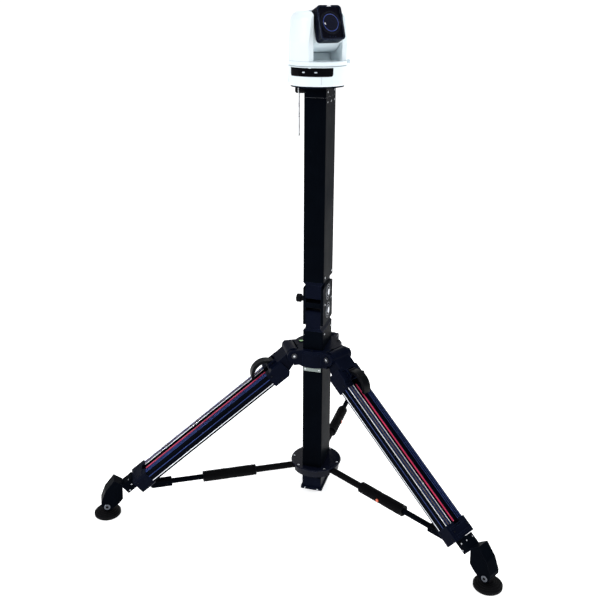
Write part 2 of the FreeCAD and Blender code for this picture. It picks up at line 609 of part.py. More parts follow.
def make_casting():
    """Upper leg casting: root lug on the pivot, then the socket block for both tubes."""
    root = rod(LEG_ROOT_RADIUS, V(0, -LEG_ROOT_HALF, 0), V(0, LEG_ROOT_HALF, 0))
    neck = prism([(0, LEG_ROOT_RADIUS * 0.72), (52, 12), (52, TUBE_LOW + 2), (-4, -LEG_ROOT_RADIUS * 0.9)],
                 -LEG_ROOT_HALF, LEG_ROOT_HALF)
    low = TUBE_LOW - CASTING_MARGIN
    high = TUBE_HIGH + CASTING_MARGIN
    mouth = TUBE_START + SOCKET_LENGTH
    shoulder = prism([(44, high + 6), (78, high + 6), (88, high), (mouth, high), (mouth, low), (50, low),
                      (40, low + 10)], -CASTING_HALF, CASTING_HALF)
    body = shoulder.fuse([root, neck]).removeSplitter()
    for side in (-1, 1):
        y0 = side * TUBE_GAP / 2
        y1 = side * TUBE_OUT
        body = body.cut(block(TUBE_START, 300, min(y0, y1), max(y0, y1), TUBE_LOW, TUBE_HIGH))
    channel = block(TUBE_START - 10, 300, -TUBE_GAP / 2, TUBE_GAP / 2, BAR_LOW - 1.5, high + 1)
    body = body.cut(channel)
    body = body.cut(rod(PIN_RADIUS + RUNNING, V(0, -60, 0), V(0, 60, 0)))
    ear_low = high + 2
    ears = []
    for side in (-1, 1):
        y0 = side * 13.0
        y1 = side * 19.0
        ears.append(prism([(50, ear_low), (54, LEVER_PIVOT[1] + 5), (78, LEVER_PIVOT[1] + 5), (84, ear_low)],
                          min(y0, y1), max(y0, y1)))
    body = body.fuse(ears).removeSplitter()
    seat = rod(8.5, V(LEVER_PIVOT[0], -13, LEVER_PIVOT[1]), V(LEVER_PIVOT[0], 13, LEVER_PIVOT[1]))
    sweep = block(LEVER_PIVOT[0] - 1, 200, -13, 13, LEVER_PIVOT[1] - 8.5, 40)
    body = body.cut(seat).cut(sweep)
    return body.cut(rod(LEVER_PIN_RADIUS, V(LEVER_PIVOT[0], -25, LEVER_PIVOT[1]),
                        V(LEVER_PIVOT[0], 25, LEVER_PIVOT[1])))


def make_leg_tubes():
    """The pair of upper leg tubes."""
    tubes = []
    for side in (-1, 1):
        centre = side * (TUBE_GAP + TUBE_WIDTH) / 2
        bar = block(TUBE_START, TUBE_END, centre - TUBE_WIDTH / 2, centre + TUBE_WIDTH / 2,
                    TUBE_LOW, TUBE_HIGH)
        bar = rounded(bar, 7.0, X_AXIS)
        hollow = block(TUBE_START - 1, TUBE_END + 1, centre - TUBE_WIDTH / 2 + TUBE_WALL,
                       centre + TUBE_WIDTH / 2 - TUBE_WALL, TUBE_LOW + TUBE_WALL, TUBE_HIGH - TUBE_WALL)
        tubes.append(bar.cut(rounded(hollow, 4.5, X_AXIS)))
    return Part.makeCompound(tubes)


LUG_HALF = 5.0
COLLAR_RISE = 2.0            # the collar stands this much higher than the casting
ARM_TIP_RADIUS = 9.0


def radial_to_leg(point):
    """Leg coordinates of a place given as distance out and height."""
    slope = math.radians(LEG_SLOPE)
    out = point[0] - HINGE_RADIUS
    down = point[1] - HINGE_HEIGHT
    return (out * math.cos(slope) - down * math.sin(slope), out * math.sin(slope) + down * math.cos(slope))


def make_collar():
    """Lower leg collar that joins the tubes, guides the stage and carries the spreader lug."""
    margin = CASTING_MARGIN
    body = block(COLLAR_START, COLLAR_END, -CASTING_HALF, CASTING_HALF,
                 TUBE_LOW - margin, TUBE_HIGH + margin + COLLAR_RISE)
    body = body.makeChamfer(4.0, along(body, X_AXIS))
    for side in (-1, 1):
        y0 = side * TUBE_GAP / 2
        y1 = side * TUBE_OUT
        body = body.cut(block(COLLAR_START - 1, TUBE_END, min(y0, y1), max(y0, y1), TUBE_LOW, TUBE_HIGH))
    bar_way = block(COLLAR_START - 1, COLLAR_END + 1, -BAR_HALF - SLIDING, BAR_HALF + SLIDING,
                    BAR_LOW - SLIDING, BAR_HIGH + SLIDING)
    gap_way = block(COLLAR_START - 1, TUBE_END, -TUBE_GAP / 2, TUBE_GAP / 2, BAR_LOW - 1.5, TUBE_HIGH + 20)
    body = body.cut(bar_way).cut(gap_way)
    lug_s, lug_p = radial_to_leg((BRACKET_RADIUS, BRACKET_HEIGHT))
    under = TUBE_LOW - margin
    lug = prism([(lug_s - 20, under + 1), (lug_s - 8, lug_p), (lug_s + 8, lug_p), (lug_s + 22, under + 1)],
                -LUG_HALF, LUG_HALF)
    tip = rod(8.0, V(lug_s, -LUG_HALF, lug_p), V(lug_s, LUG_HALF, lug_p))
    return body.fuse([lug, tip]).removeSplitter()


def make_stripe():
    """Red trim strip between the two tubes, with the thin web that carries it."""
    start = TUBE_START + SOCKET_LENGTH
    end = COLLAR_START - 2
    strip = block(start, end, -STRIPE_HALF, STRIPE_HALF, STRIPE_LOW, STRIPE_HIGH)
    web = block(start, end, -TUBE_GAP / 2, TUBE_GAP / 2, STRIPE_LOW - 2, STRIPE_LOW)
    return strip.fuse(web).removeSplitter()


def make_lever():
    """Arched cam lever that locks the lower stage."""
    px, pz = LEVER_PIVOT
    boss = rod(8.0, V(px, -12.7, pz), V(px, 12.7, pz))
    rise = 26.0
    outer = [V(px, 0, pz + 8), V(px + 34, 0, pz + rise), V(px + 76, 0, pz - 2)]
    inner = [V(px + 68, 0, pz - 5), V(px + 34, 0, pz + rise - 10), V(px + 4, 0, pz + 1)]
    edges = [Part.Arc(*outer).toShape(), Part.LineSegment(outer[2], inner[0]).toShape(),
             Part.Arc(*inner).toShape(), Part.LineSegment(inner[2], outer[0]).toShape()]
    arch = Part.Face(Part.Wire(edges)).extrude(V(0, 25.4, 0))
    arch.translate(V(0, -12.7, 0))
    pin = rod(LEVER_PIN_RADIUS - RUNNING, V(px, -18.9, pz), V(px, 18.9, pz))
    return boss.fuse([arch, pin]).removeSplitter()


# ankle places: outward from the column's axis, and height above the floor
ANKLE_PIN = (648.0, 36.0)
ANKLE_PIN_RADIUS = 4.0
ANKLE_HALF = 20.0
ANKLE_SLOT_HALF = 8.0
ANKLE_TONGUE_RADIUS = 11.0
ANKLE_POCKET = ANKLE_TONGUE_RADIUS + 3.0


def make_lower_stage():
    """Sliding bar with the shoe block and ankle casting at its end."""
    bar = block(250, COLLAR_END + 4, -BAR_HALF, BAR_HALF, BAR_LOW, BAR_HIGH)
    shoe = block(COLLAR_END + 1, ANKLE_START + 4, -STAGE_HALF, STAGE_HALF, STAGE_LOW, STAGE_HIGH)
    shoe = rounded(shoe, 5.0, X_AXIS)
    outline = [(598, 104), (622, 122), (650, 88), (664, 54), (664, 42), (652, 24), (636, 26), (612, 44),
               (600, 58)]
    ankle = prism([radial_to_leg(p) for p in outline], -ANKLE_HALF, ANKLE_HALF)
    pin_s, pin_p = radial_to_leg(ANKLE_PIN)
    pocket = rod(ANKLE_POCKET, V(pin_s, -ANKLE_SLOT_HALF, pin_p), V(pin_s, ANKLE_SLOT_HALF, pin_p))
    below = prism([radial_to_leg(p) for p in ((ANKLE_PIN[0] - 16, 0), (ANKLE_PIN[0] + 30, 0),
                                              (ANKLE_PIN[0] + 30, ANKLE_PIN[1] + 6),
                                              (ANKLE_PIN[0] - 16, ANKLE_PIN[1] - 6))],
                  -ANKLE_SLOT_HALF, ANKLE_SLOT_HALF)
    bore = rod(ANKLE_PIN_RADIUS + RUNNING, V(pin_s, -ANKLE_HALF - 1, pin_p), V(pin_s, ANKLE_HALF + 1, pin_p))
    solid = bar.fuse([shoe, ankle]).removeSplitter()
    return solid.cut(pocket).cut(below).cut(bore)


def make_pad(azimuth):
    """Domed rubber foot with its tongue and ankle pin."""
    out, up = ANKLE_PIN
    rim = 12.0
    profile = [V(0, 0, 0), V(PAD_RADIUS - 3, 0, 0), V(PAD_RADIUS, 0, 3), V(PAD_RADIUS, 0, rim - 2)]
    edges = [Part.LineSegment(profile[i], profile[i + 1]).toShape() for i in range(3)]
    dome_top = 19.0
    edges.append(Part.Arc(profile[3], V(PAD_RADIUS * 0.72, 0, rim + 3.5), V(8, 0, dome_top)).toShape())
    edges.append(Part.LineSegment(V(8, 0, dome_top), V(0, 0, dome_top)).toShape())
    edges.append(Part.LineSegment(V(0, 0, dome_top), profile[0]).toShape())
    pad = Part.Face(Part.Wire(edges)).revolve(ORIGIN, Z_AXIS, 360)
    pad.translate(V(out, 0, 0))
    half = ANKLE_SLOT_HALF - SLIDING
    stem = block(out - 9, out + 9, -half, half, 10, up)
    knuckle = rod(ANKLE_TONGUE_RADIUS, V(out, -half, up), V(out, half, up))
    pin = rod(ANKLE_PIN_RADIUS, V(out, -ANKLE_HALF - 2, up), V(out, ANKLE_HALF + 2, up))
    foot = pad.fuse([stem, knuckle, pin]).removeSplitter()
    return turned(foot, ORIGIN, Z_AXIS, azimuth)


# ---------------------------------------------------------------- spreader
ARM_SLOPE = math.degrees(math.atan2(BRACKET_HEIGHT - ARM_PIVOT_HEIGHT, BRACKET_RADIUS - ARM_PIVOT_RADIUS))
ARM_LENGTH = math.hypot(BRACKET_HEIGHT - ARM_PIVOT_HEIGHT, BRACKET_RADIUS - ARM_PIVOT_RADIUS)
ARM_PIN_RADIUS = 4.0
ARM_PIN_HALF = 16.0
DISC_PLATE = 3.5
DISC_HUB_RADIUS = 72.0
DISC_HUB_BOTTOM = 76.0
DISC_SLOT_HALF = ARM_TUBE_RADIUS + 0.7
ARM_BORE_START = 22.0
ARM_ROD_START = 185.0
FORK_START = ARM_LENGTH - 50
FORK_OUTER = LUG_HALF + 8.0
FORK_INNER = LUG_HALF + 0.8
BOSS_RADIUS = 5.5
BOSS_HEIGHT = 2.5
BUTTON_PLACE = 205.0
BUTTON_RADIUS = 5.0
BUTTON_PROUD = 2.5


def make_disc():
    """Round spreader hub on the column, slotted for the three arms."""
    plate = rod(DISC_RADIUS, V(0, 0, DISC_TOP - DISC_PLATE), V(0, 0, DISC_TOP))
    plate = plate.makeChamfer(1.5, [plate.Edges[0]])
    hub = rod(DISC_HUB_RADIUS, V(0, 0, DISC_HUB_BOTTOM), V(0, 0, DISC_TOP - DISC_PLATE))
    for azimuth in LEG_AZIMUTHS.values():
        slot = block(ARM_PIVOT_RADIUS - ARM_TIP_RADIUS - 1.5, 100, -DISC_SLOT_HALF, DISC_SLOT_HALF,
                     DISC_HUB_BOTTOM - 1, DISC_TOP - DISC_PLATE)
        bore = rod(ARM_PIN_RADIUS + RUNNING, V(ARM_PIVOT_RADIUS, -ARM_PIN_HALF - 0.5, ARM_PIVOT_HEIGHT),
                   V(ARM_PIVOT_RADIUS, ARM_PIN_HALF + 0.5, ARM_PIVOT_HEIGHT))
        hub = hub.cut(turned(slot.fuse(bore), ORIGIN, Z_AXIS, azimuth))
    disc = plate.fuse(hub).removeSplitter()
    return disc.cut(tower(COLUMN_WIDTH + 2 * SLIDING, COLUMN_DEPTH + 2 * SLIDING,
                          DISC_HUB_BOTTOM - 1, DISC_TOP + 1, COLUMN_CORNER))


def on_arm(shape, azimuth):
    """Place a piece drawn with the arm along +X, its disc pivot at the origin."""
    piece = turned(shape, ORIGIN, Y_AXIS, -ARM_SLOPE)
    piece.translate(V(ARM_PIVOT_RADIUS, 0, ARM_PIVOT_HEIGHT))
    piece.rotate(ORIGIN, Z_AXIS, azimuth)
    return piece


def make_arm_grip():
    """Inner spreader tube with its hand grip; the outer rod slides into it."""
    eye = rod(ARM_TIP_RADIUS - 0.5, V(0, -ARM_TUBE_RADIUS, 0), V(0, ARM_TUBE_RADIUS, 0))
    tube = rod(ARM_TUBE_RADIUS, V(0, 0, 0), V(GRIP_START + 5, 0, 0))
    for way in (-1, 1):
        flat = block(-20, DISC_RADIUS - ARM_PIVOT_RADIUS + 3, -20, 20, ARM_TIP_RADIUS - 0.5, 20)
        tube = tube.cut(turned(flat, ORIGIN, X_AXIS, 90 - way * 90))
    grip = rod(GRIP_RADIUS, V(GRIP_START, 0, 0), V(GRIP_END, 0, 0))
    rims = [e for e in grip.Edges if isinstance(e.Curve, Part.Circle)]
    grip = grip.makeFillet(4.0, rims)
    pin = rod(ARM_PIN_RADIUS, V(0, -ARM_PIN_HALF, 0), V(0, ARM_PIN_HALF, 0))
    body = tube.fuse([eye, grip, pin]).removeSplitter()
    body = body.cut(rod(ARM_ROD_RADIUS + RUNNING, V(ARM_BORE_START, 0, 0), V(GRIP_END + 1, 0, 0)))
    well = rod(BUTTON_RADIUS + RUNNING, V(BUTTON_PLACE, -GRIP_RADIUS - 1, 0), V(BUTTON_PLACE, -9.0, 0))
    return body.cut(well)


def make_arm_rod():
    """Outer spreader rod with the fork that straddles the leg's lug."""
    slide = rod(ARM_ROD_RADIUS, V(ARM_ROD_START, 0, 0), V(ARM_LENGTH - 40, 0, 0))
    plate = block(FORK_START, ARM_LENGTH, FORK_INNER, FORK_OUTER, -ARM_TIP_RADIUS, ARM_TIP_RADIUS)
    end = rod(ARM_TIP_RADIUS, V(ARM_LENGTH, FORK_INNER, 0), V(ARM_LENGTH, FORK_OUTER, 0))
    boss = rod(BOSS_RADIUS, V(ARM_LENGTH, FORK_INNER, 0), V(ARM_LENGTH, FORK_OUTER + BOSS_HEIGHT, 0))
    cheek = plate.fuse([end, boss]).removeSplitter()
    other = cheek.mirror(ORIGIN, Y_AXIS)
    bridge = block(FORK_START - 6, FORK_START + 16, -FORK_OUTER, FORK_OUTER, -ARM_TIP_RADIUS, ARM_TIP_RADIUS)
    return slide.fuse([bridge, cheek, other]).removeSplitter()


def make_button():
    """Release button in the side of the grip."""
    return rod(BUTTON_RADIUS, V(BUTTON_PLACE, -GRIP_RADIUS - BUTTON_PROUD, 0),
               V(BUTTON_PLACE, 4 - GRIP_RADIUS, 0))


# ---------------------------------------------------------------- write every sub-part
def all_parts():
    """Name and shape of every sub-part."""
    parts = {
        "crown_body": make_crown(),
        "bubble_vial": make_vial(),
        "leg_pivot_bolts": make_leg_bolts(),
        "lower_column": make_tube(LOWER_COLUMN_BOTTOM, LOWER_COLUMN_TOP),
        "column_foot": make_column_foot(),
        "stop_plate": make_stop_plate(),
        "lower_hinge_cap": make_hinge_cap(LOWER_COLUMN_TOP, LINK_PIN_LOW),
        "spreader_disc": make_disc(),
        "fold_link": make_fold_link(),
        "fold_pins": make_fold_pins(),
        "fold_lock_knob": make_fold_knob(),
        "upper_hinge_cap": make_hinge_cap(UPPER_COLUMN_BOTTOM, LINK_PIN_HIGH),
        "upper_column": make_tube(UPPER_COLUMN_BOTTOM, UPPER_COLUMN_TOP),
        "guide_bushes": make_bushes(),
        "mast_inner": make_mast(),
        "camera_plate": make_camera_plate(),
        "plate_knob": make_plate_knob(),
        "hanging_tag": make_tag(),
        "camera_base_shell": make_base_shell(),
        "camera_base_plate": make_base_plate(),
        "receiver_window": make_window(),
        "connector_block": make_io_block(),
        "pan_bearing": make_pan_bearing(),
        "camera_yoke": make_yoke(),
        "tilt_shafts": make_tilt_shafts(),
        "head_housing": make_head_housing(),
        "head_bezel": make_bezel(),
        "lens_barrel": make_lens_barrel(),
        "lens_glass": make_lens_glass(),
    }
    tubes = make_leg_tubes()
    casting = make_casting()
    collar = make_collar()
    stripe = make_stripe()
    lever = make_lever()
    stage = make_lower_stage()
    grip = make_arm_grip()
    arm_rod = make_arm_rod()
    button = make_button()
    for name, azimuth in LEG_AZIMUTHS.items():
        parts["leg_casting_" + name] = on_leg(casting, azimuth)
        parts["leg_tubes_" + name] = on_leg(tubes, azimuth)
        parts["leg_collar_" + name] = on_leg(collar, azimuth)
        parts["leg_stripe_" + name] = on_leg(stripe, azimuth)
        parts["lock_lever_" + name] = on_leg(lever, azimuth)
        parts["lower_stage_" + name] = on_leg(stage, azimuth)
        parts["foot_pad_" + name] = make_pad(azimuth)
        parts["arm_grip_" + name] = on_arm(grip, azimuth)
        parts["arm_rod_" + name] = on_arm(arm_rod, azimuth)
        parts["arm_button_" + name] = on_arm(button, azimuth)
    return parts


os.makedirs("parts", exist_ok=True)
for node, shape in all_parts().items():
    if not shape.isValid() or shape.Volume <= 0:
        raise ValueError(node + " is not a valid solid")
    shape.exportStep("parts/" + node + ".step")
    print(node, len(shape.Solids), round(shape.Volume))
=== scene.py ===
"""Looks of the pan-tilt-zoom camera and its column tripod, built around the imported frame."""
import json
import math

import bmesh
import bpy
from mathutils import Matrix, Vector


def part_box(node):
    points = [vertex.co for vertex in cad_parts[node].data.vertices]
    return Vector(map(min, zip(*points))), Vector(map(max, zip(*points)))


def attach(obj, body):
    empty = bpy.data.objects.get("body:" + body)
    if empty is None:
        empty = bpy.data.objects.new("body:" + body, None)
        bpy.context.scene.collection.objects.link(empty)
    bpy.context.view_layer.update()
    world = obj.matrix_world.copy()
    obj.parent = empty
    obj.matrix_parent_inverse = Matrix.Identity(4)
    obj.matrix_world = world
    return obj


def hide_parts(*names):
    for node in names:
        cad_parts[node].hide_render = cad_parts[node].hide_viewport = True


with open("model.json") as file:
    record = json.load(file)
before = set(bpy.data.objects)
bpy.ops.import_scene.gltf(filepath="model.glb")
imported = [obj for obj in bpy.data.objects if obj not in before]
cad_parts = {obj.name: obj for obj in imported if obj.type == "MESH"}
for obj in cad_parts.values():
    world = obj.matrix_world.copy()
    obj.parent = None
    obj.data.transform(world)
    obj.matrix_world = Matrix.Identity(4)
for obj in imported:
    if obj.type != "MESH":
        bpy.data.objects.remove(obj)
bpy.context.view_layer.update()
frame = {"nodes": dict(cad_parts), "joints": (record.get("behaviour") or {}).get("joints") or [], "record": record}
NODES = frame["nodes"]
SLOT_OF = {s["node"]: s["material_slot"] for s in frame["record"]["subparts"]}
JOINTS = {j["name"]: j for j in frame["joints"]}
LEGS = ("back", "left", "right")
scene = bpy.context.scene


# ---------------------------------------------------------------- camera
def camera():
    """Standing a little to the right of the column's front, looking down on it."""
    data = bpy.data.cameras.new("view_camera")
    data.lens = 48.05
    data.sensor_width = 36.0
    data.clip_end = 200.0
    look = Vector((-0.2636, 0.8979, -0.3527)).normalized()
    up = Vector((-0.1024, 0.3375, 0.9357))
    side = look.cross(up).normalized()
    up = side.cross(look)
    cam = bpy.data.objects.new("view_camera", data)
    turn = Matrix((side, up, -look)).transposed().to_4x4()
    cam.matrix_world = Matrix.Translation((0.5663, -2.1143, 1.4577)) @ turn
    scene.collection.objects.link(cam)
    scene.camera = cam


camera()


# ---------------------------------------------------------------- materials
class Graph:
    """Small helper that wires shader nodes of one material."""

    def __init__(self, name):
        self.material = bpy.data.materials.new(name)
        self.material.use_nodes = True
        self.tree = self.material.node_tree
        self.shader = self.tree.nodes["Principled BSDF"]

    def node(self, kind, **values):
        made = self.tree.nodes.new(kind)
        for key, value in values.items():
            setattr(made, key, value)
        return made

    def link(self, source, target):
        self.tree.links.new(source, target)

    def place(self, scale):
        """Object coordinates, in metres, stretched by a scale on each axis."""
        at = self.node("ShaderNodeTexCoord")
        mapping = self.node("ShaderNodeMapping")
        mapping.inputs["Scale"].default_value = scale
        self.link(at.outputs["Object"], mapping.inputs["Vector"])
        return mapping.outputs["Vector"]

    def noise(self, scale, detail=3.0, stretch=(1, 1, 1), roughness=0.55):
        made = self.node("ShaderNodeTexNoise")
        made.inputs["Scale"].default_value = scale
        made.inputs["Detail"].default_value = detail
        made.inputs["Roughness"].default_value = roughness
        self.link(self.place(stretch), made.inputs["Vector"])
        return made.outputs["Fac"]

    def span(self, source, low, high, start=0.3, end=0.7):
        made = self.node("ShaderNodeMapRange")
        made.inputs["From Min"].default_value = start
        made.inputs["From Max"].default_value = end
        made.inputs["To Min"].default_value = low
        made.inputs["To Max"].default_value = high
        self.link(source, made.inputs["Value"])
        return made.outputs["Result"]

    def mix(self, factor, first, second):
        made = self.node("ShaderNodeMix", data_type="RGBA")
        colours = [s for s in made.inputs if s.type == "RGBA"]
        for socket, value in zip(colours, (first, second)):
            if isinstance(value, tuple):
                socket.default_value = (*value, 1.0)
            else:
                self.link(value, socket)
        self.link(factor, made.inputs[0])
        return [s for s in made.outputs if s.type == "RGBA"][0]

    def edges(self, radius):
        """Rounded normal, and a mask that is 1 on rounded edges, where the edge colour is painted on as a
        highlight.
        """
        bevel = self.node("ShaderNodeBevel", samples=4)
        bevel.inputs["Radius"].default_value = radius
        plain = self.node("ShaderNodeNewGeometry")
        dot = self.node("ShaderNodeVectorMath", operation="DOT_PRODUCT")
        self.link(bevel.outputs["Normal"], dot.inputs[0])
        self.link(plain.outputs["Normal"], dot.inputs[1])
        return bevel.outputs["Normal"], self.span(dot.outputs["Value"], 1.0, 0.0, 0.82, 0.99)

    def bump(self, height, strength, distance, normal=None):
        made = self.node("ShaderNodeBump")
        made.inputs["Strength"].default_value = strength
        made.inputs["Distance"].default_value = distance
        self.link(height, made.inputs["Height"])
        if normal is not None:
            self.link(normal, made.inputs["Normal"])
        return made.outputs["Normal"]


def surface(name, colour, rough, metallic=0.0, specular=0.5, coat=0.0, grain=900.0, stretch=(1, 1, 1),
            depth=0.00008, patchy=0.25, edge=None, edge_radius=0.0008, anisotropic=0.0):
    """Painted, moulded or metal surface with fine grain, patchy sheen and an edge colour painted on its rounded
    edges: a painted highlight, lighter than the base on dark finishes.
    """
    g = Graph(name)
    s = g.shader.inputs
    s["Metallic"].default_value = metallic
    s["Specular IOR Level"].default_value = specular
    s["Coat Weight"].default_value = coat
    s["Coat Roughness"].default_value = 0.08
    s["Anisotropic"].default_value = anisotropic
    cloud = g.noise(9.0, 4.0)
    fine = g.noise(grain, 2.0, stretch)
    darker = tuple(c * (1 - patchy) for c in colour)
    lighter = tuple(min(1.0, c * (1 + patchy)) for c in colour)
    base = g.mix(g.span(cloud, 0.0, 1.0), darker, lighter)
    normal, painted_edge_mask = g.edges(edge_radius)
    # edge colour mixed onto rounded edges and broken up by noise: a painted edge highlight, or painted shade where
    # the edge colour is darker than the base
    if edge:
        thin = g.node("ShaderNodeMath", operation="MULTIPLY")
        g.link(painted_edge_mask, thin.inputs[0])
        g.link(g.span(g.noise(60.0, 3.0), 0.25, 1.0), thin.inputs[1])
        base = g.mix(thin.outputs["Value"], base, edge)
    g.link(base, s["Base Color"])
    g.link(g.span(cloud, rough * 0.85, min(1.0, rough * 1.2)), s["Roughness"])
    g.link(g.bump(fine, 0.35, depth, normal), s["Normal"])
    return g.material


def glass(name, colour, rough=0.02, transmission=0.0, coat=1.0, tint=None, specular=0.5):
    """Dark or tinted glass with a coated surface."""
    g = Graph(name)
    s = g.shader.inputs
    s["IOR"].default_value = 1.52
    s["Specular IOR Level"].default_value = specular
    s["Transmission Weight"].default_value = transmission
    s["Coat Weight"].default_value = coat
    s["Coat Roughness"].default_value = 0.02
    if tint:
        s["Coat Tint"].default_value = (*tint, 1.0)
    cloud = g.noise(30.0, 2.0)
    g.link(g.mix(g.span(cloud, 0.0, 1.0), colour, tuple(c * 0.8 for c in colour)), s["Base Color"])
    g.link(g.span(cloud, rough, rough * 2), s["Roughness"])
    return g.material


def printed_tag():
    """White tag with a few grey bars, as on any printed label."""
    g = Graph("tag_white")
    s = g.shader.inputs
    low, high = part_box("hanging_tag")
    at = g.place((1, 1, 1))
    split = g.node("ShaderNodeSeparateXYZ")
    g.link(at, split.inputs["Vector"])
    wave = g.node("ShaderNodeTexNoise")
    wave.inputs["Scale"].default_value = 420.0
    wave.inputs["Detail"].default_value = 0.0
    stretched = g.place((1.0, 0.15, 1.0))
    g.link(stretched, wave.inputs["Vector"])
    marks = g.span(wave.outputs["Fac"], 0.0, 1.0, 0.5, 0.56)
    height = high.z - low.z
    field = None
    for start, end in ((0.30, 0.42), (0.53, 0.62)):
        top = g.node("ShaderNodeMath", operation="LESS_THAN")
        bottom = g.node("ShaderNodeMath", operation="GREATER_THAN")
        both = g.node("ShaderNodeMath", operation="MULTIPLY")
        top.inputs[1].default_value = high.z - start * height
        bottom.inputs[1].default_value = high.z - end * height
        for one in (top, bottom):
            g.link(split.outputs["Z"], one.inputs[0])
        g.link(top.outputs["Value"], both.inputs[0])
        g.link(bottom.outputs["Value"], both.inputs[1])
        if field is None:
            field = both.outputs["Value"]
        else:
            add = g.node("ShaderNodeMath", operation="ADD")
            g.link(field, add.inputs[0])
            g.link(both.outputs["Value"], add.inputs[1])
            field = add.outputs["Value"]
    inked = g.node("ShaderNodeMath", operation="MULTIPLY")
    g.link(field, inked.inputs[0])
    g.link(marks, inked.inputs[1])
    g.link(g.mix(inked.outputs["Value"], (0.82, 0.84, 0.87), (0.16, 0.17, 0.2)), s["Base Color"])
    g.link(g.span(g.noise(300.0), 0.45, 0.6), s["Roughness"])
    g.link(g.bump(g.noise(1500.0), 0.2, 0.00005), s["Normal"])
    return g.material


# each finish's edge colour is a painted highlight on its rounded edges
MATERIALS = {
    "black_anodised": surface("black_anodised", (0.0014, 0.0022, 0.0040), 0.36, 0.0, 0.004, grain=700.0,
                              stretch=(1, 1, 0.04), depth=0.00004, edge=(0.03, 0.035, 0.05)),
    "black_casting": surface("black_casting", (0.0018, 0.003, 0.009), 0.34, 0.0, 0.02, grain=1100.0,
                             depth=0.00016, edge=(0.02, 0.03, 0.065), edge_radius=0.0012),
    "leg_tube_black": surface("leg_tube_black", (0.0012, 0.0018, 0.004), 0.24, 0.0, 0.012, grain=600.0,
                              depth=0.00003, edge=(0.02, 0.03, 0.07)),
    "steel": surface("steel", (0.58, 0.6, 0.63), 0.26, 1.0, grain=1500.0, stretch=(1, 1, 0.2),
                     patchy=0.12, anisotropic=0.4, edge=(0.8, 0.82, 0.85), edge_radius=0.0004),
    "grey_plate": surface("grey_plate", (0.2, 0.235, 0.22), 0.4, 0.7, grain=900.0, stretch=(0.06, 1, 1),
                          depth=0.00004, edge=(0.5, 0.55, 0.5)),
    "red_trim": surface("red_trim", (0.62, 0.025, 0.10), 0.3, specular=0.4, coat=0.3, grain=500.0,
                        depth=0.00003, edge=(0.85, 0.25, 0.3)),
    "button_orange": surface("button_orange", (0.78, 0.11, 0.03), 0.32, coat=0.4, grain=900.0,
                             edge=(0.95, 0.35, 0.15), edge_radius=0.0005),
    "black_plastic": surface("black_plastic", (0.0018, 0.0022, 0.0034), 0.34, specular=0.05, grain=1300.0,
                             depth=0.0001, edge=(0.03, 0.034, 0.046)),
    "grip_rubber": surface("grip_rubber", (0.002, 0.002, 0.0026), 0.6, specular=0.04, grain=1600.0,
                           depth=0.00025, edge=(0.015, 0.015, 0.018)),
    "foot_rubber": surface("foot_rubber", (0.0022, 0.0022, 0.0028), 0.5, specular=0.05, grain=900.0,
                           depth=0.0002, edge=(0.016, 0.016, 0.018), edge_radius=0.0015),
    "vial_green": glass("vial_green", (0.16, 0.72, 0.05), 0.05, 0.25),
    "tag_white": printed_tag(),
    # the white shell's darker bluish edge colour is painted shade on its rounded edges
    "white_shell": surface("white_shell", (0.75, 0.83, 0.865), 0.3, specular=0.35, coat=0.1, grain=1400.0,
                           depth=0.00002, patchy=0.015, edge=(0.66, 0.76, 0.80), edge_radius=0.0022),
    "window_black": glass("window_black", (0.002, 0.002, 0.003), 0.08, coat=0.0, specular=0.06),
    "bezel_black": surface("bezel_black", (0.0016, 0.0024, 0.008), 0.16, specular=0.07, coat=0.03,
                           grain=1500.0, depth=0.00002, edge=(0.03, 0.045, 0.09), edge_radius=0.0016),
    "lens_black": surface("lens_black", (0.002, 0.002, 0.004), 0.22, specular=0.12, grain=1300.0,
                          edge=(0.03, 0.04, 0.08)),
    "lens_glass": glass("lens_glass", (0.002, 0.002, 0.006), 0.05, coat=0.0, specular=0.1),
    "guide_plastic": surface("guide_plastic", (0.35, 0.35, 0.33), 0.5, grain=900.0, edge=(0.5, 0.5, 0.48)),
}
SOCKET_GOLD = surface("socket_gold", (0.75, 0.55, 0.2), 0.25, 1.0, grain=1500.0, edge=(0.9, 0.75, 0.4))
LIGHT_MARK = surface("window_mark", (0.5, 0.56, 0.62), 0.35, grain=900.0, edge=(0.7, 0.75, 0.8))
TALLY = surface("tally_window", (0.8, 0.83, 0.86), 0.25, coat=0.5, grain=900.0, edge=(0.95, 0.97, 1.0))
TAN = surface("rib_tan", (0.30, 0.23, 0.17), 0.3, 0.8, grain=700.0, edge=(0.45, 0.36, 0.28))
# near-white mirror ribs: painted highlight lines along the black leg tubes
RIB_PAINTED_HIGHLIGHT = surface("rib_painted_highlight", (0.86, 0.89, 0.94), 0.3, 1.0, grain=700.0, patchy=0.05, edge=(0.9, 0.93, 0.97))
# blue ring colour: the painted blue glow of the lens coating
LENS_GLOW_PAINT = surface("painted_lens_glow", (0.02, 0.04, 0.20), 0.18, specular=0.4, coat=0.3, grain=1500.0,
                     edge=(0.06, 0.10, 0.4))
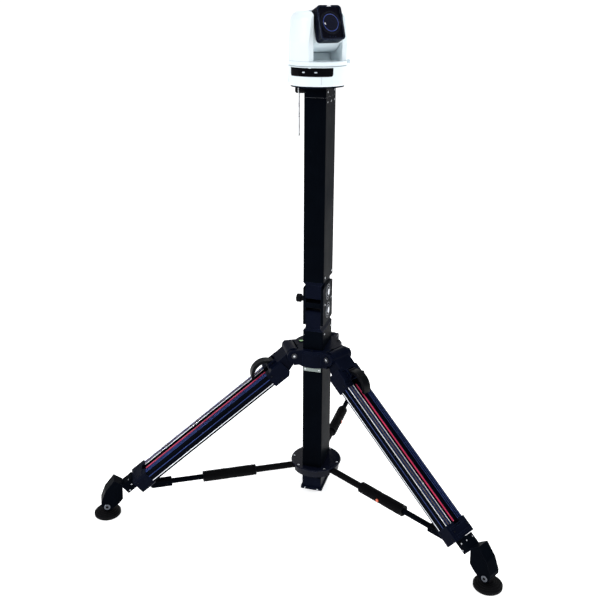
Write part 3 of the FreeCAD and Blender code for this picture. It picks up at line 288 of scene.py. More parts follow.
# blue ribs: painted blue reflection lines along the black leg tubes
RIB_PAINTED_REFLECTION = surface("rib_painted_reflection", (0.022, 0.042, 0.16), 0.28, 0.9, grain=700.0, edge=(0.10, 0.17, 0.45))
DARK_STEEL = surface("bolt_dark", (0.02, 0.022, 0.028), 0.3, 0.6, grain=1200.0, edge=(0.08, 0.09, 0.11))
ARC = surface("pin_arc", (0.10, 0.11, 0.13), 0.3, 0.9, grain=1200.0, edge=(0.6, 0.62, 0.65))
BUBBLE = glass("bubble", (0.75, 0.95, 0.5), 0.03, 0.5)
DISC_GLOSS = surface("disc_gloss", (0.0035, 0.0045, 0.011), 0.22, specular=0.08, coat=0.03, grain=900.0,
                     edge=(0.02, 0.03, 0.07))
SEAM = surface("seam_grey", (0.22, 0.25, 0.30), 0.5, grain=900.0)
ELEMENT = glass("front_element", (0.002, 0.003, 0.012), 0.03, coat=0.12, tint=(0.55, 0.65, 1.0),
                specular=0.25)
# the pale blue edge colour paints a highlight line round the bezel's rim
RIM = surface("bezel_rim", (0.003, 0.006, 0.018), 0.2, specular=0.12, coat=0.04, grain=1500.0, depth=0.00002,
              edge=(0.14, 0.19, 0.30))

for node, obj in NODES.items():
    if not obj.material_slots:
        obj.data.materials.append(MATERIALS[SLOT_OF[node]])
    for holder in obj.material_slots:
        holder.material = MATERIALS[SLOT_OF[node]]


# ---------------------------------------------------------------- piece helpers
def piece(bm, name, body, slot, material=None, matrix=None, bevel=0.0, angle=35.0):
    """Object from a bmesh, placed, smoothed and riding on a body."""
    if matrix is not None:
        bm.transform(matrix)
    bmesh.ops.recalc_face_normals(bm, faces=bm.faces)
    mesh = bpy.data.meshes.new(name)
    bm.to_mesh(mesh)
    bm.free()
    for face in mesh.polygons:
        face.use_smooth = True
    mesh.set_sharp_from_angle(angle=math.radians(angle))
    mesh.materials.append(material or MATERIALS[slot])
    obj = bpy.data.objects.new(name, mesh)
    scene.collection.objects.link(obj)
    if bevel:
        cut = obj.modifiers.new("edges", "BEVEL")
        cut.width = bevel
        cut.segments = 2
        cut.limit_method = "ANGLE"
    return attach(obj, body)


def add_box(bm, low, high, matrix=None):
    """Box between two corners."""
    made = bmesh.ops.create_cube(bm, size=1.0)["verts"]
    low, high = Vector(low), Vector(high)
    for v in made:
        v.co = Vector(((v.co[i] + 0.5) * (high[i] - low[i]) + low[i]) for i in range(3))
        if matrix is not None:
            v.co = matrix @ v.co
    return made


def add_lathe(bm, profile, steps=48, matrix=None, arc=(0.0, 360.0)):
    """Profile of (radius, height) turned about Z."""
    whole = abs(arc[1] - arc[0]) >= 360
    count = steps if whole else steps + 1
    rows = []
    for i in range(count):
        a = math.radians(arc[0] + (arc[1] - arc[0]) * i / steps)
        row = []
        for radius, height in profile:
            co = Vector((radius * math.cos(a), radius * math.sin(a), height))
            row.append(bm.verts.new(matrix @ co if matrix is not None else co))
        rows.append(row)
    for i in range(steps):
        a, b = rows[i], rows[(i + 1) % count]
        for k in range(len(profile) - 1):
            bm.faces.new((a[k], b[k], b[k + 1], a[k + 1]))
    bmesh.ops.remove_doubles(bm, verts=bm.verts, dist=1e-7)


def add_rib(bm, start, end, across, high, radius):
    """Half-round rib drawn along X, standing on a face."""
    steps = 8
    rows = []
    for x in (start, end):
        rows.append([bm.verts.new((x, across + radius * math.cos(math.pi * i / steps),
                                   high + radius * math.sin(math.pi * i / steps))) for i in range(steps + 1)])
    for i in range(steps):
        bm.faces.new((rows[0][i], rows[1][i], rows[1][i + 1], rows[0][i + 1]))
    for row in rows:
        bm.faces.new(row)
    bm.faces.new((rows[0][0], rows[0][-1], rows[1][-1], rows[1][0]))


def facing(place, direction):
    """Matrix whose Z runs along a direction, at a place."""
    turn = Vector(direction).to_track_quat("Z", "Y").to_matrix().to_4x4()
    return Matrix.Translation(place) @ turn


def add_screw(bm, matrix, radius, height=0.0015):
    """Round screw head with a hexagon socket."""
    r, h = radius, height
    add_lathe(bm, [(r * 1.0, 0.0), (r, h * 0.7), (r * 0.86, h), (r * 0.58, h)], 32, matrix)
    rim, floor = [], []
    step = math.pi / 3
    for i in range(32):
        a = 2 * math.pi * i / 32
        hexagon = r * 0.5 / math.cos((a % step) - step / 2)
        rim.append(bm.verts.new(matrix @ Vector((hexagon * math.cos(a), hexagon * math.sin(a), h))))
        floor.append(bm.verts.new(matrix @ Vector((hexagon * math.cos(a), hexagon * math.sin(a), h * 0.25))))
    outer = [matrix @ Vector((r * 0.58 * math.cos(2 * math.pi * i / 32),
                              r * 0.58 * math.sin(2 * math.pi * i / 32), h)) for i in range(32)]
    ring = [bm.verts.new(co) for co in outer]
    for i in range(32):
        k = (i + 1) % 32
        bm.faces.new((ring[i], ring[k], rim[k], rim[i]))
        bm.faces.new((rim[i], rim[k], floor[k], floor[i]))
    bm.faces.new(floor)
    bmesh.ops.remove_doubles(bm, verts=bm.verts, dist=1e-7)


def screws(name, body, places, radius, height=0.0015, slot="steel"):
    """Several screw heads in one piece."""
    bm = bmesh.new()
    for place, direction in places:
        add_screw(bm, facing(place, direction), radius, height)
    return piece(bm, name, body, slot, angle=30.0)


def leg_place(leg):
    """Leg coordinates (along, across, square to the leg) to the row frame, with the leg's slope."""
    hinge = JOINTS["leg_fold_" + leg]
    down = Vector(JOINTS["stage_" + leg + "_slide"]["axis"])
    across = Vector(hinge["axis"]).normalized()
    top = down.cross(across).normalized()
    turn = Matrix((down, across, top)).transposed().to_4x4()
    return Matrix.Translation(hinge["pos_m"]) @ turn


def arm_place(leg):
    """Arm coordinates, the arm along X from its pivot on the disc."""
    pivot = JOINTS["arm_" + leg + "_turn"]
    out = Vector(JOINTS["arm_" + leg + "_telescope"]["axis"])
    across = Vector(pivot["axis"]).normalized()
    top = out.cross(across).normalized()
    turn = Matrix((out, across, top)).transposed().to_4x4()
    return Matrix.Translation(pivot["pos_m"]) @ turn


ALONG_X = Matrix.Rotation(math.radians(90), 4, "Y")


# ---------------------------------------------------------------- legs
# A leg's coordinates run along its tubes from the hinge, across them, and square to them.
RIB_START = 0.1005           # ribs and trim start at the casting's mouth
RIB_END = 0.5595             # and end at the collar
RIB_RADIUS = 0.00125
TAN_RIB_RADIUS = 0.0007
# the bright ribs paint highlight lines and the blue ribs paint blue reflection lines on the tubes
TOP_RIBS = {"bright": (RIB_PAINTED_HIGHLIGHT, (-0.0352, -0.0148), RIB_RADIUS),
            "blue": (RIB_PAINTED_REFLECTION, (-0.0292, -0.0205, 0.0160, 0.0225, 0.0290), RIB_RADIUS),
            "tan": (TAN, (-0.0248,), TAN_RIB_RADIUS)}
SIDE_RIBS = {"blue": (RIB_PAINTED_REFLECTION, -0.0125), "bright": (RIB_PAINTED_HIGHLIGHT, -0.0300)}
SIDE_RIB_INNER = 0.0378      # just inside the tubes' outer faces
SIDE_RIB_OUTER = 0.0388
SIDE_RIB_HALF = 0.0011
WEB_HALF = 0.0119            # half the gap between the tubes
WEB_BOTTOM = -0.0080
WEB_TOP = -0.0062
WEB_RIDGE_ACROSS = 0.0080    # a low ridge on each side of the trim strip
WEB_RIDGE_HALF = 0.0008
WEB_RIDGE_BOTTOM = -0.0063
WEB_RIDGE_TOP = -0.0046
TRIM_HIGH = -0.0040
TRIM_RADIUS = 0.0022
CASTING_SIDE = 0.0393        # side screws stand this far from the leg's middle
CASTING_SCREWS = ((0.070, -0.034), (0.090, -0.008), (0.569, -0.034), (0.597, -0.006))
LEG_SCREW_RADIUS = 0.0024
RIDGE_HALF = 0.0012
LEVER_RIBS = 7
LEVER_START = 0.066
LEVER_LENGTH = 0.076
LEVER_RIB_HALF = 0.0011
LEVER_RIB_RISE = 0.0012
ANKLE_SIDE = 0.0201          # ankle washers stand this far from the leg's middle
STAGE_SIDE = 0.0222          # and the lower stage's side screws this far
STAGE_SCREW_RADIUS = 0.0022
PAD_RINGS = ((0.0345, 0.0134), (0.028, 0.0156), (0.0215, 0.0172), (0.0155, 0.0181))


def tube_ribs(leg, place):
    """Rounded ribs along the tubes' upper faces, and flat ones along their outer sides; the bright ribs paint
    highlight lines and the blue ones paint blue reflection lines.
    """
    body = "leg_" + leg
    for label, (finish, lines, radius) in TOP_RIBS.items():
        bm = bmesh.new()
        for across in lines:
            add_rib(bm, RIB_START, RIB_END, across, 0.0, radius)
        piece(bm, "tube_ribs_" + label + "_" + leg, body, "leg_tube_black", finish, place, angle=80.0)
    for label, (finish, high) in SIDE_RIBS.items():
        bm = bmesh.new()
        for side in (-1, 1):
            y0, y1 = sorted((side * SIDE_RIB_INNER, side * SIDE_RIB_OUTER))
            add_box(bm, (RIB_START, y0, high - SIDE_RIB_HALF), (RIB_END, y1, high + SIDE_RIB_HALF))
        piece(bm, "side_ribs_" + label + "_" + leg, body, "leg_tube_black", finish, place, bevel=0.0004)


def gap_trim(leg, place):
    """Black web between the tubes, with a slim red trim strip standing on it."""
    body = "leg_" + leg
    bm = bmesh.new()
    add_box(bm, (RIB_START, -WEB_HALF, WEB_BOTTOM), (RIB_END, WEB_HALF, WEB_TOP))
    for side in (-1, 1):
        middle = side * WEB_RIDGE_ACROSS
        add_box(bm, (RIB_START, middle - WEB_RIDGE_HALF, WEB_RIDGE_BOTTOM),
                (RIB_END, middle + WEB_RIDGE_HALF, WEB_RIDGE_TOP))
    piece(bm, "gap_web_" + leg, body, "leg_tube_black", matrix=place)
    bm = bmesh.new()
    add_rib(bm, RIB_START, RIB_END, 0.0, TRIM_HIGH, TRIM_RADIUS)
    strip = piece(bm, "trim_strip_" + leg, body, "red_trim", matrix=place, angle=80.0)
    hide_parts("leg_stripe_" + leg)


def leg_fasteners(leg, place):
    """Screws in the sides of the casting and the collar, and two on the collar's top."""
    turn = place.to_3x3()
    spots = []
    for side in (-1, 1):
        for along, high in CASTING_SCREWS:
            spots.append((place @ Vector((along, side * CASTING_SIDE, high)), turn @ Vector((0, side, 0))))
    for side in (-1, 1):
        spots.append((place @ Vector((0.583, side * 0.027, 0.005)), turn @ Vector((0, 0, 1))))
    screws("leg_screws_" + leg, "leg_" + leg, spots, LEG_SCREW_RADIUS, slot="black_plastic")


def leg_ridges(leg, place):
    """Stepped ridges across the tops of the casting and the collar."""
    bm = bmesh.new()
    for side in (-1, 1):
        y0, y1 = sorted((side * 0.0215, side * 0.0375))
        for along in (0.0905, 0.0965):
            add_box(bm, (along - RIDGE_HALF, y0, 0.0028), (along + RIDGE_HALF, y1, 0.0042))
    for along in (0.569, 0.574, 0.594, 0.599):
        add_box(bm, (along - RIDGE_HALF, -0.034, 0.0048), (along + RIDGE_HALF, 0.034, 0.0060))
    piece(bm, "casting_ridges_" + leg, "leg_" + leg, "black_casting", matrix=place, bevel=0.0005)


def lever_grip(leg, place):
    """Finger ribs across the lever's arched back."""
    bm = bmesh.new()
    for i in range(LEVER_RIBS):
        t = 0.22 + 0.09 * i
        along = LEVER_START + LEVER_LENGTH * t
        high = 0.0215 + 0.0185 * math.sin(math.pi * min(1.0, t * 0.92 + 0.04)) - 0.0098 * t * t
        add_box(bm, (along - LEVER_RIB_HALF, -0.0117, high - LEVER_RIB_RISE),
                (along + LEVER_RIB_HALF, 0.0117, high + LEVER_RIB_RISE))
    piece(bm, "lever_ribs_" + leg, "lever_" + leg, "black_plastic", matrix=place, bevel=0.0005)


def stage_details(leg, place, pin, across):
    """Washers on the ankle pin and screws in the lower stage's shoe."""
    bm = bmesh.new()
    washer = [(0.0045, 0.0), (0.0045, 0.0012), (0.0085, 0.0012), (0.0092, 0.0004), (0.0092, 0.0)]
    for side in (-1, 1):
        ring = facing(pin + across * side * ANKLE_SIDE, across * side)
        add_lathe(bm, washer, 32, ring)
    piece(bm, "ankle_washers_" + leg, "stage_" + leg, "steel", ARC)
    up = place.to_3x3() @ Vector((0, 0, 1))
    spots = [(place @ Vector((0.6175, side * STAGE_SIDE, -0.004)), across * side) for side in (-1, 1)]
    spots += [(place @ Vector((0.634, side * STAGE_SIDE, -0.016)), across * side) for side in (-1, 1)]
    spots += [(place @ Vector((0.618, side * 0.013, 0.0091)), up) for side in (-1, 1)]
    screws("stage_screws_" + leg, "stage_" + leg, spots, STAGE_SCREW_RADIUS)


def pad_rings(leg, pin):
    """Raised rings on the rubber foot and one round its rim."""
    centre = Matrix.Translation((pin.x, pin.y, 0.0))
    bm = bmesh.new()
    for radius, high in PAD_RINGS:
        add_lathe(bm, [(radius - 0.0014, high), (radius - 0.0008, high + 0.0012),
                       (radius + 0.0004, high + 0.0011), (radius + 0.0012, high - 0.0006)], 64, centre)
    add_lathe(bm, [(0.0380, 0.0030), (0.03895, 0.0042), (0.03895, 0.0056), (0.0380, 0.0068)], 64, centre)
    piece(bm, "pad_rings_" + leg, "foot_" + leg, "foot_rubber")


def leg_details(leg):
    """All the details of one leg, from its casting to its foot."""
    place = leg_place(leg)
    ankle = JOINTS["foot_" + leg + "_tilt"]
    pin = Vector(ankle["pos_m"])
    tube_ribs(leg, place)
    gap_trim(leg, place)
    leg_fasteners(leg, place)
    leg_ridges(leg, place)
    lever_grip(leg, place)
    stage_details(leg, place, pin, Vector(ankle["axis"]).normalized())
    pad_rings(leg, pin)


# ---------------------------------------------------------------- spreader arms
# An arm's coordinates run along its tube from the pivot on the disc.
BUTTON_ALONG = 0.205
GRIP_PITCH = 0.0035


def grip_profile():
    """Ribbed outline of the grip's sleeve, plain beside the button."""
    profile = [(0.0155, 0.1335)]
    high = 0.1345
    while high < 0.2845:
        if abs(high - BUTTON_ALONG) < 0.009:
            profile += [(0.0161, high), (0.0161, high + GRIP_PITCH)]
        else:
            profile += [(0.0160, high), (0.0167, high + 0.0007), (0.0167, high + 0.0021),
                        (0.0160, high + 0.0028)]
        high += GRIP_PITCH
    profile.append((0.0155, 0.2862))
    return profile


def arm_details(leg):
    """Grip sleeve and rings, the button's surround and the fork's screws."""
    place = arm_place(leg)
    body = "arm_" + leg
    bm = bmesh.new()
    add_lathe(bm, grip_profile(), 40)
    piece(bm, "grip_sleeve_" + leg, body, "grip_rubber", matrix=place @ ALONG_X, angle=50.0)
    # smooth end rings
    bm = bmesh.new()
    for start in (0.1275, 0.2875):
        add_lathe(bm, [(0.012, start), (0.0158, start), (0.0166, start + 0.0008), (0.0166, start + 0.0032),
                       (0.0158, start + 0.004), (0.012, start + 0.004)], 40)
    piece(bm, "grip_rings_" + leg, body, "black_plastic", matrix=place @ ALONG_X)
    # button surround
    bm = bmesh.new()
    seat = place @ facing((BUTTON_ALONG, -0.0155, 0.0), (0, -1, 0))
    add_lathe(bm, [(0.0053, 0.0), (0.0055, 0.0016), (0.0072, 0.0016), (0.0082, 0.0002), (0.0082, -0.001)],
              32, seat)
    piece(bm, "button_surround_" + leg, body, "black_plastic")
    # fork screws
    spots = [(place @ Vector((0.4014, side * 0.0131, 0.0)), place.to_3x3() @ Vector((0, side, 0)))
             for side in (-1, 1)]
    screws("fork_screws_" + leg, "arm_rod_" + leg, spots, 0.0022, slot="black_plastic")


for name in LEGS:
    leg_details(name)
    arm_details(name)


# ---------------------------------------------------------------- crown, column and spreader
def crown_details():
    """Screws, pivot bolt ends, bubble level, stop plate screws and the band on the crown."""
    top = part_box("crown_body")[1].z
    spots = []
    for i in range(6):
        a = math.radians(30 + 60 * i)
        if i != 2:
            spots.append((Vector((0.0625 * math.cos(a), 0.0625 * math.sin(a), top)), (0, 0, 1)))
    screws("crown_screws", "stand", spots, 0.0030, slot="black_plastic")
    # pivot bolts: dark heads with a small bright end
    reach = 0.0451
    spots = []
    for leg in LEGS:
        hinge = JOINTS["leg_fold_" + leg]
        across = Vector(hinge["axis"]).normalized()
        spots += [(Vector(hinge["pos_m"]) + across * side * reach, across * side) for side in (-1, 1)]
    screws("bolt_ends", "stand", spots, 0.0030, 0.0010)
    # bubble level rim and bubble
    low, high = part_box("bubble_vial")
    centre = (low + high) / 2
    bm = bmesh.new()
    add_lathe(bm, [(0.0070, 0.0), (0.0070, 0.0016), (0.0078, 0.0022), (0.0092, 0.0018), (0.0098, 0.0)], 40,
              Matrix.Translation((centre.x, centre.y, top)))
    piece(bm, "vial_rim", "stand", "black_plastic")
    bm = bmesh.new()
    add_lathe(bm, [(0.0, 0.0012), (0.0012, 0.0011), (0.0022, 0.0006), (0.0026, 0.0)], 24,
              Matrix.Translation((centre.x + 0.0008, centre.y - 0.0006, high.z)))
    piece(bm, "vial_bubble", "stand", "vial_green", BUBBLE)
    # stop plate screws
    low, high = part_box("stop_plate")
    middle = (low.z + high.z) / 2
    screws("stop_screws", "stand", [(Vector((x, low.y, middle)), (0, -1, 0)) for x in (-0.021, 0.021)],
           0.0026, 0.0009)
    # band under the crown's top edge, left open where the lobes stand
    bm = bmesh.new()
    band = [(0.0699, top - 0.012), (0.0708, top - 0.011), (0.0708, top - 0.006), (0.0699, top - 0.005)]
    for arc in ((100, 200), (222, 318)):
        add_lathe(bm, band, 96, None, arc)
    piece(bm, "crown_band", "stand", "black_casting")


PIN_ARCS = (((0.0142, -0.0002), (0.0145, 0.0008), (0.0158, 0.0008), (0.0161, -0.0002)),
            ((0.0215, -0.0002), (0.0217, 0.0006), (0.0227, 0.0006), (0.0229, -0.0002)))
SCREW_Y = (-0.036, 0.036)    # screws stand near the column's front and back edges


def column_details():
    """Arcs round the fold pins, screws along the column, and the rim of its upper end."""
    pins = [JOINTS["lower_fold"]["pos_m"][2], JOINTS["upper_fold"]["pos_m"][2]]
    link_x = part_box("fold_link")[1].x
    # raised arcs round the pins, and screws between them
    bm = bmesh.new()
    for z in pins:
        for side in (-1, 1):
            ring = facing((side * link_x, 0, z), (side, 0, 0))
            for profile in PIN_ARCS:
                add_lathe(bm, profile, 64, ring)
    piece(bm, "pin_arcs", "fold_link", "steel", ARC)
    middle = sum(pins) / 2
    spots = [(Vector((link_x, y, middle)), (1, 0, 0)) for y in SCREW_Y]
    spots += [(Vector((-link_x, y, middle)), (-1, 0, 0)) for y in SCREW_Y]
    screws("link_screws", "fold_link", spots, 0.003)
    # cap screws on both tubes' ends
    for body, node, z in (("upper_column", "upper_column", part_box("upper_column")[0].z + 0.012),
                          ("stand", "lower_column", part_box("lower_column")[1].z - 0.012),
                          ("stand", "lower_column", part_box("lower_column")[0].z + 0.012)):
        low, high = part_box(node)
        spots = []
        for side in (-1, 1):
            spots += [(Vector((side * high.x, y, z)), (side, 0, 0)) for y in SCREW_Y]
        screws("cap_screws_%d" % round(z * 1000), body, spots, 0.003, 0.0010)
    low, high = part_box("upper_column")
    spots = [(Vector((side * high.x, y, high.z - 0.012)), (side, 0, 0)) for side in (-1, 1)
             for y in (-0.036, 0.0, 0.036)]
    screws("bush_screws", "upper_column", spots, 0.0024, 0.0008)
    # bright rim of the column's upper end, and the plate's screws
    bm = bmesh.new()
    w, d, z = high.x - 0.0006, high.y - 0.0006, high.z
    for x0, x1, y0, y1 in ((-w, w, -d, -d + 0.0022), (-w, w, d - 0.0022, d),
                           (-w, -w + 0.0022, -d, d), (w - 0.0022, w, -d, d)):
        add_box(bm, (x0, y0, z - 0.0003), (x1, y1, z + 0.00035))
    piece(bm, "column_rim", "upper_column", "steel")
    low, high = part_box("camera_plate")
    spots = [(Vector((-0.022, 0.046, high.z)), (0, 0, 1))]
    spots += [(Vector((high.x, y, (low.z + high.z) / 2)), (1, 0, 0)) for y in SCREW_Y]
    screws("plate_screws", "mast", spots, 0.0030)
    # foot of the column
    low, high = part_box("column_foot")
    spots = [(Vector((x, low.y, low.z + 0.004)), (0, -1, 0)) for x in (-0.02, 0.02)]
    screws("sole_screws", "stand", spots, 0.0022, 0.0008)


def spreader_details():
    """Screws and a raised rim on the spreader's disc."""
    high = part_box("spreader_disc")[1]
    spots = []
    for i in range(3):
        for off in (-24, 24):
            a = math.radians(90 + 120 * i + off)
            spots.append((Vector((0.0695 * math.cos(a), 0.0695 * math.sin(a), high.z)), (0, 0, 1)))
    screws("disc_screws", "disc", spots, 0.0034)
    bm = bmesh.new()
    add_lathe(bm, [(0.0745, high.z - 0.0003), (0.0749, high.z + 0.0009), (0.0762, high.z + 0.0009),
                   (0.0767, high.z - 0.0003)], 128)
    piece(bm, "disc_rim", "disc", "black_plastic", DISC_GLOSS)


for node, finish in (("spreader_disc", DISC_GLOSS), ("leg_pivot_bolts", DARK_STEEL)):
    for holder in NODES[node].material_slots:
        holder.material = finish
crown_details()
column_details()
spreader_details()


# ---------------------------------------------------------------- camera unit
def on_base(angle, radius, high):
    """Place on the round base: angle from straight ahead, positive to the right."""
    a = math.radians(angle)
    pan = JOINTS["camera_pan"]["pos_m"]
    return Vector((pan[0] + radius * math.sin(a), pan[1] - radius * math.cos(a), high))


WINDOW_REACH = math.radians(46.0)    # half the angle that the window spans
WINDOW_CORNER = 0.0055
WINDOW_DEPTH = 0.0007
WINDOW_CHAMFER = 0.0003
NOTCH_REACH = math.radians(2.2)
NOTCH_DEPTH = 0.0012
MARK_ANGLE = 12.0
SEAM_ANGLES = (23.0, -70.0, 96.0)
SEAM_HALF = 0.00022
SOCKET_WALL = 0.0012
SLOT_COUNT = 9
SLOT_PITCH = 0.008


def window_panel(pan, low, high, radius):
    """Curved receiver window with rounded lower corners and a small notch at its top."""
    columns = 96
    bm = bmesh.new()
    rows = []
    for i in range(columns + 1):
        a = -WINDOW_REACH + 2 * WINDOW_REACH * i / columns
        gap = min(WINDOW_CORNER, radius * (WINDOW_REACH - abs(a)))
        inner = WINDOW_CORNER - gap
        bottom = low.z + WINDOW_CORNER - math.sqrt(max(0.0, WINDOW_CORNER ** 2 - inner ** 2))
        top = high.z - (NOTCH_DEPTH if abs(a) < NOTCH_REACH else 0.0)
        row = []
        for r, z in ((radius - WINDOW_DEPTH, bottom), (radius, bottom + WINDOW_CHAMFER),
                     (radius, top - WINDOW_CHAMFER), (radius - WINDOW_DEPTH, top)):
            row.append(bm.verts.new((pan.x + r * math.sin(a), pan.y - r * math.cos(a), z)))
        rows.append(row)
    for a, b in zip(rows, rows[1:]):
        for k in range(4):
            bm.faces.new((a[k], b[k], b[(k + 1) % 4], a[(k + 1) % 4]))
    bm.faces.new(rows[0])
    bm.faces.new(rows[-1])
    panel = piece(bm, "window_panel", "mast", "window_black")
    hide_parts("receiver_window")


def window_marks(pan, low, high, radius):
    """Two soft status marks in the window."""
    bm = bmesh.new()
    for angle in (-MARK_ANGLE, MARK_ANGLE):
        spot = on_base(angle, radius + 0.0001, (low.z + high.z) / 2)
        out = Vector((spot.x - pan.x, spot.y - pan.y, 0))
        add_lathe(bm, [(0.0, 0.0004), (0.0021, 0.0004), (0.0026, 0.0002), (0.0027, -0.0004)], 32,
                  facing(spot, out) @ Matrix.Diagonal((1.5, 0.62, 1.0, 1.0)))
    piece(bm, "window_marks", "mast", "window_black", LIGHT_MARK)


def shell_seams(window_low):
    """Parting lines of the base shell, below the window."""
    base_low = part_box("camera_base_shell")[0]
    bm = bmesh.new()
    for angle in SEAM_ANGLES:
        spot = on_base(angle, 0.0768, 0)
        turn = Matrix.Translation((spot.x, spot.y, 0)) @ Matrix.Rotation(math.radians(angle), 4, "Z")
        add_box(bm, (-SEAM_HALF, -0.0004, base_low.z + 0.005),
                (SEAM_HALF, 0.0004, window_low.z - 0.001), turn)
    piece(bm, "shell_seams", "mast", "white_shell", SEAM)


def rear_panel(panel_y, z):
    """Rear panel with generic sockets: two round, two square-cornered and one for power."""
    bm = bmesh.new()
    add_box(bm, (-0.0455, panel_y - 0.0004, z - 0.0150), (0.0455, panel_y + 0.0005, z + 0.0150))
    piece(bm, "rear_panel", "mast", "black_plastic", bevel=0.0003)
    bm = bmesh.new()
    for x in (-0.036, -0.020):
        ring = facing((x, panel_y, z + 0.002), (0, 1, 0))
        add_lathe(bm, [(0.0026, 0.0012), (0.0026, 0.0060), (0.0036, 0.0060), (0.0039, 0.0056),
                       (0.0039, 0.0014), (0.0056, 0.0012), (0.0058, 0.0)], 32, ring)
    piece(bm, "round_sockets", "mast", "steel")
    bm = bmesh.new()
    for x0, x1, z0, z1 in ((-0.008, 0.008, -0.006, 0.008), (0.012, 0.027, -0.004, 0.002)):
        for a0, a1, b0, b1 in ((x0, x1, z0, z0 + SOCKET_WALL), (x0, x1, z1 - SOCKET_WALL, z1),
                               (x0, x0 + SOCKET_WALL, z0, z1), (x1 - SOCKET_WALL, x1, z0, z1)):
            add_box(bm, (a0, panel_y, z + b0), (a1, panel_y + 0.0035, z + b1))
    piece(bm, "square_sockets", "mast", "steel", bevel=0.0002)
    bm = bmesh.new()
    ring = facing((0.036, panel_y, z), (0, 1, 0))
    add_lathe(bm, [(0.0012, 0.0), (0.0012, 0.004), (0.0, 0.0045)], 20, ring)
    add_lathe(bm, [(0.0034, 0.0), (0.0036, 0.0034), (0.0050, 0.0034), (0.0053, 0.0)], 32, ring)
    piece(bm, "power_socket", "mast", "black_plastic", SOCKET_GOLD)


def block_slots(low, high):
    """Cooling slots on the connector block's top."""
    bm = bmesh.new()
    for i in range(SLOT_COUNT):
        x = -0.032 + SLOT_PITCH * i
        add_box(bm, (x - 0.0010, low.y + 0.006, high.z - 0.0002),
                (x + 0.0010, high.y - 0.006, high.z + 0.00012))
    piece(bm, "block_slots", "mast", "black_plastic", SEAM)


def base_details():
    """Window, parting lines and rear sockets of the camera's base."""
    pan = Vector(JOINTS["camera_pan"]["pos_m"])
    low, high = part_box("receiver_window")
    radius = pan.y - low.y
    window_panel(pan, low, high, radius)
    window_marks(pan, low, high, radius)
    shell_seams(low)
    low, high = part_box("connector_block")
    rear_panel(high.y - 0.009, (low.z + high.z) / 2 - 0.003)
    block_slots(low, high)


def head_place():
    """Head coordinates: X across, -Y out of the lens, Z up, from the tilt axis."""
    tilt = JOINTS["camera_tilt"]
    across = Vector(tilt["axis"]).normalized() * -1.0
    low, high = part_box("lens_glass")
    forward = ((low + high) / 2 - Vector(tilt["pos_m"]))
    forward = (forward - across * forward.dot(across)).normalized()
    top = forward.cross(across)
    turn = Matrix((across, -forward, top)).transposed().to_4x4()
    return Matrix.Translation(tilt["pos_m"]) @ turn


LENS_FACE = 0.0672           # the lens rings stand on a plane this far in front of the tilt axis
LENS_RINGS = [(0.0292, -0.0002), (0.0292, 0.0012), (0.0286, 0.0018), (0.0268, 0.0018), (0.0262, 0.0010),
              (0.0246, 0.0010), (0.0241, 0.0016), (0.0228, 0.0016), (0.0222, 0.0006), (0.0200, 0.0006)]
ELEMENT_RADIUS = 0.0218
ELEMENT_RISE = 0.0026
RIM_HALF_WIDTH = 0.0350
RIM_HALF_HEIGHT = 0.0427
RIM_FRONT = -0.0699
RIM_CORNER = 0.0100
RIM_STEPS = ((0.0, 0.0), (-0.0002, -0.0009), (-0.0014, -0.0012), (-0.0026, -0.0006), (-0.0030, 0.0004))


def lens_details(front):
    """Stepped rings, a shallow dome of coated glass, a blue ring at its edge that paints the coating's blue glow,
    and the studs below.
    """
    bm = bmesh.new()
    add_lathe(bm, LENS_RINGS, 96, front)
    piece(bm, "lens_rings", "head", "lens_black")
    bm = bmesh.new()
    steps = 14
    dome = []
    for i in range(steps):
        a = math.pi / 2 * i / steps
        dome.append((ELEMENT_RADIUS * math.cos(a), 0.0002 + ELEMENT_RISE * math.sin(a)))
    add_lathe(bm, dome + [(0.0, 0.0002 + ELEMENT_RISE)], 96, front)
    piece(bm, "front_element", "head", "lens_glass", ELEMENT)
    bm = bmesh.new()
    # blue ring round the glass: painted blue glow of the coating
    add_lathe(bm, [(0.0200, 0.0009), (0.0206, 0.0016), (0.0214, 0.0016), (0.0220, 0.0008)], 96, front)
    piece(bm, "painted_glow_ring", "head", "lens_glass", LENS_GLOW_PAINT)
    bm = bmesh.new()
    for x in (-0.008, 0.0, 0.008):
        add_lathe(bm, [(0.0, 0.0012), (0.0012, 0.0010), (0.0017, 0.0002), (0.0018, -0.0004)], 20,
                  front @ Matrix.Translation((x, -0.0345, 0.0)))
    piece(bm, "panel_studs", "head", "bezel_black", RIM)


def bezel_rim(place):
    """Slim rounded rim round the front frame."""
    x, z = RIM_HALF_WIDTH - RIM_CORNER, RIM_HALF_HEIGHT - RIM_CORNER
    outline = []
    for cx, cz, start in ((x, z, 0), (-x, z, 90), (-x, -z, 180), (x, -z, 270)):
        for i in range(9):
            a = math.radians(start + 90 * i / 8)
            outline.append((cx, cz, math.cos(a), math.sin(a)))
    bm = bmesh.new()
    rows = []
    for inset, depth in RIM_STEPS:
        reach = RIM_CORNER + inset
        rows.append([bm.verts.new((cx + reach * c, RIM_FRONT + depth, cz + reach * s))
                     for cx, cz, c, s in outline])
    for a, b in zip(rows, rows[1:]):
        for i in range(len(outline)):
            k = (i + 1) % len(outline)
            bm.faces.new((a[i], a[k], b[k], b[i]))
    piece(bm, "bezel_rim", "head", "bezel_black", RIM, place, angle=60.0)


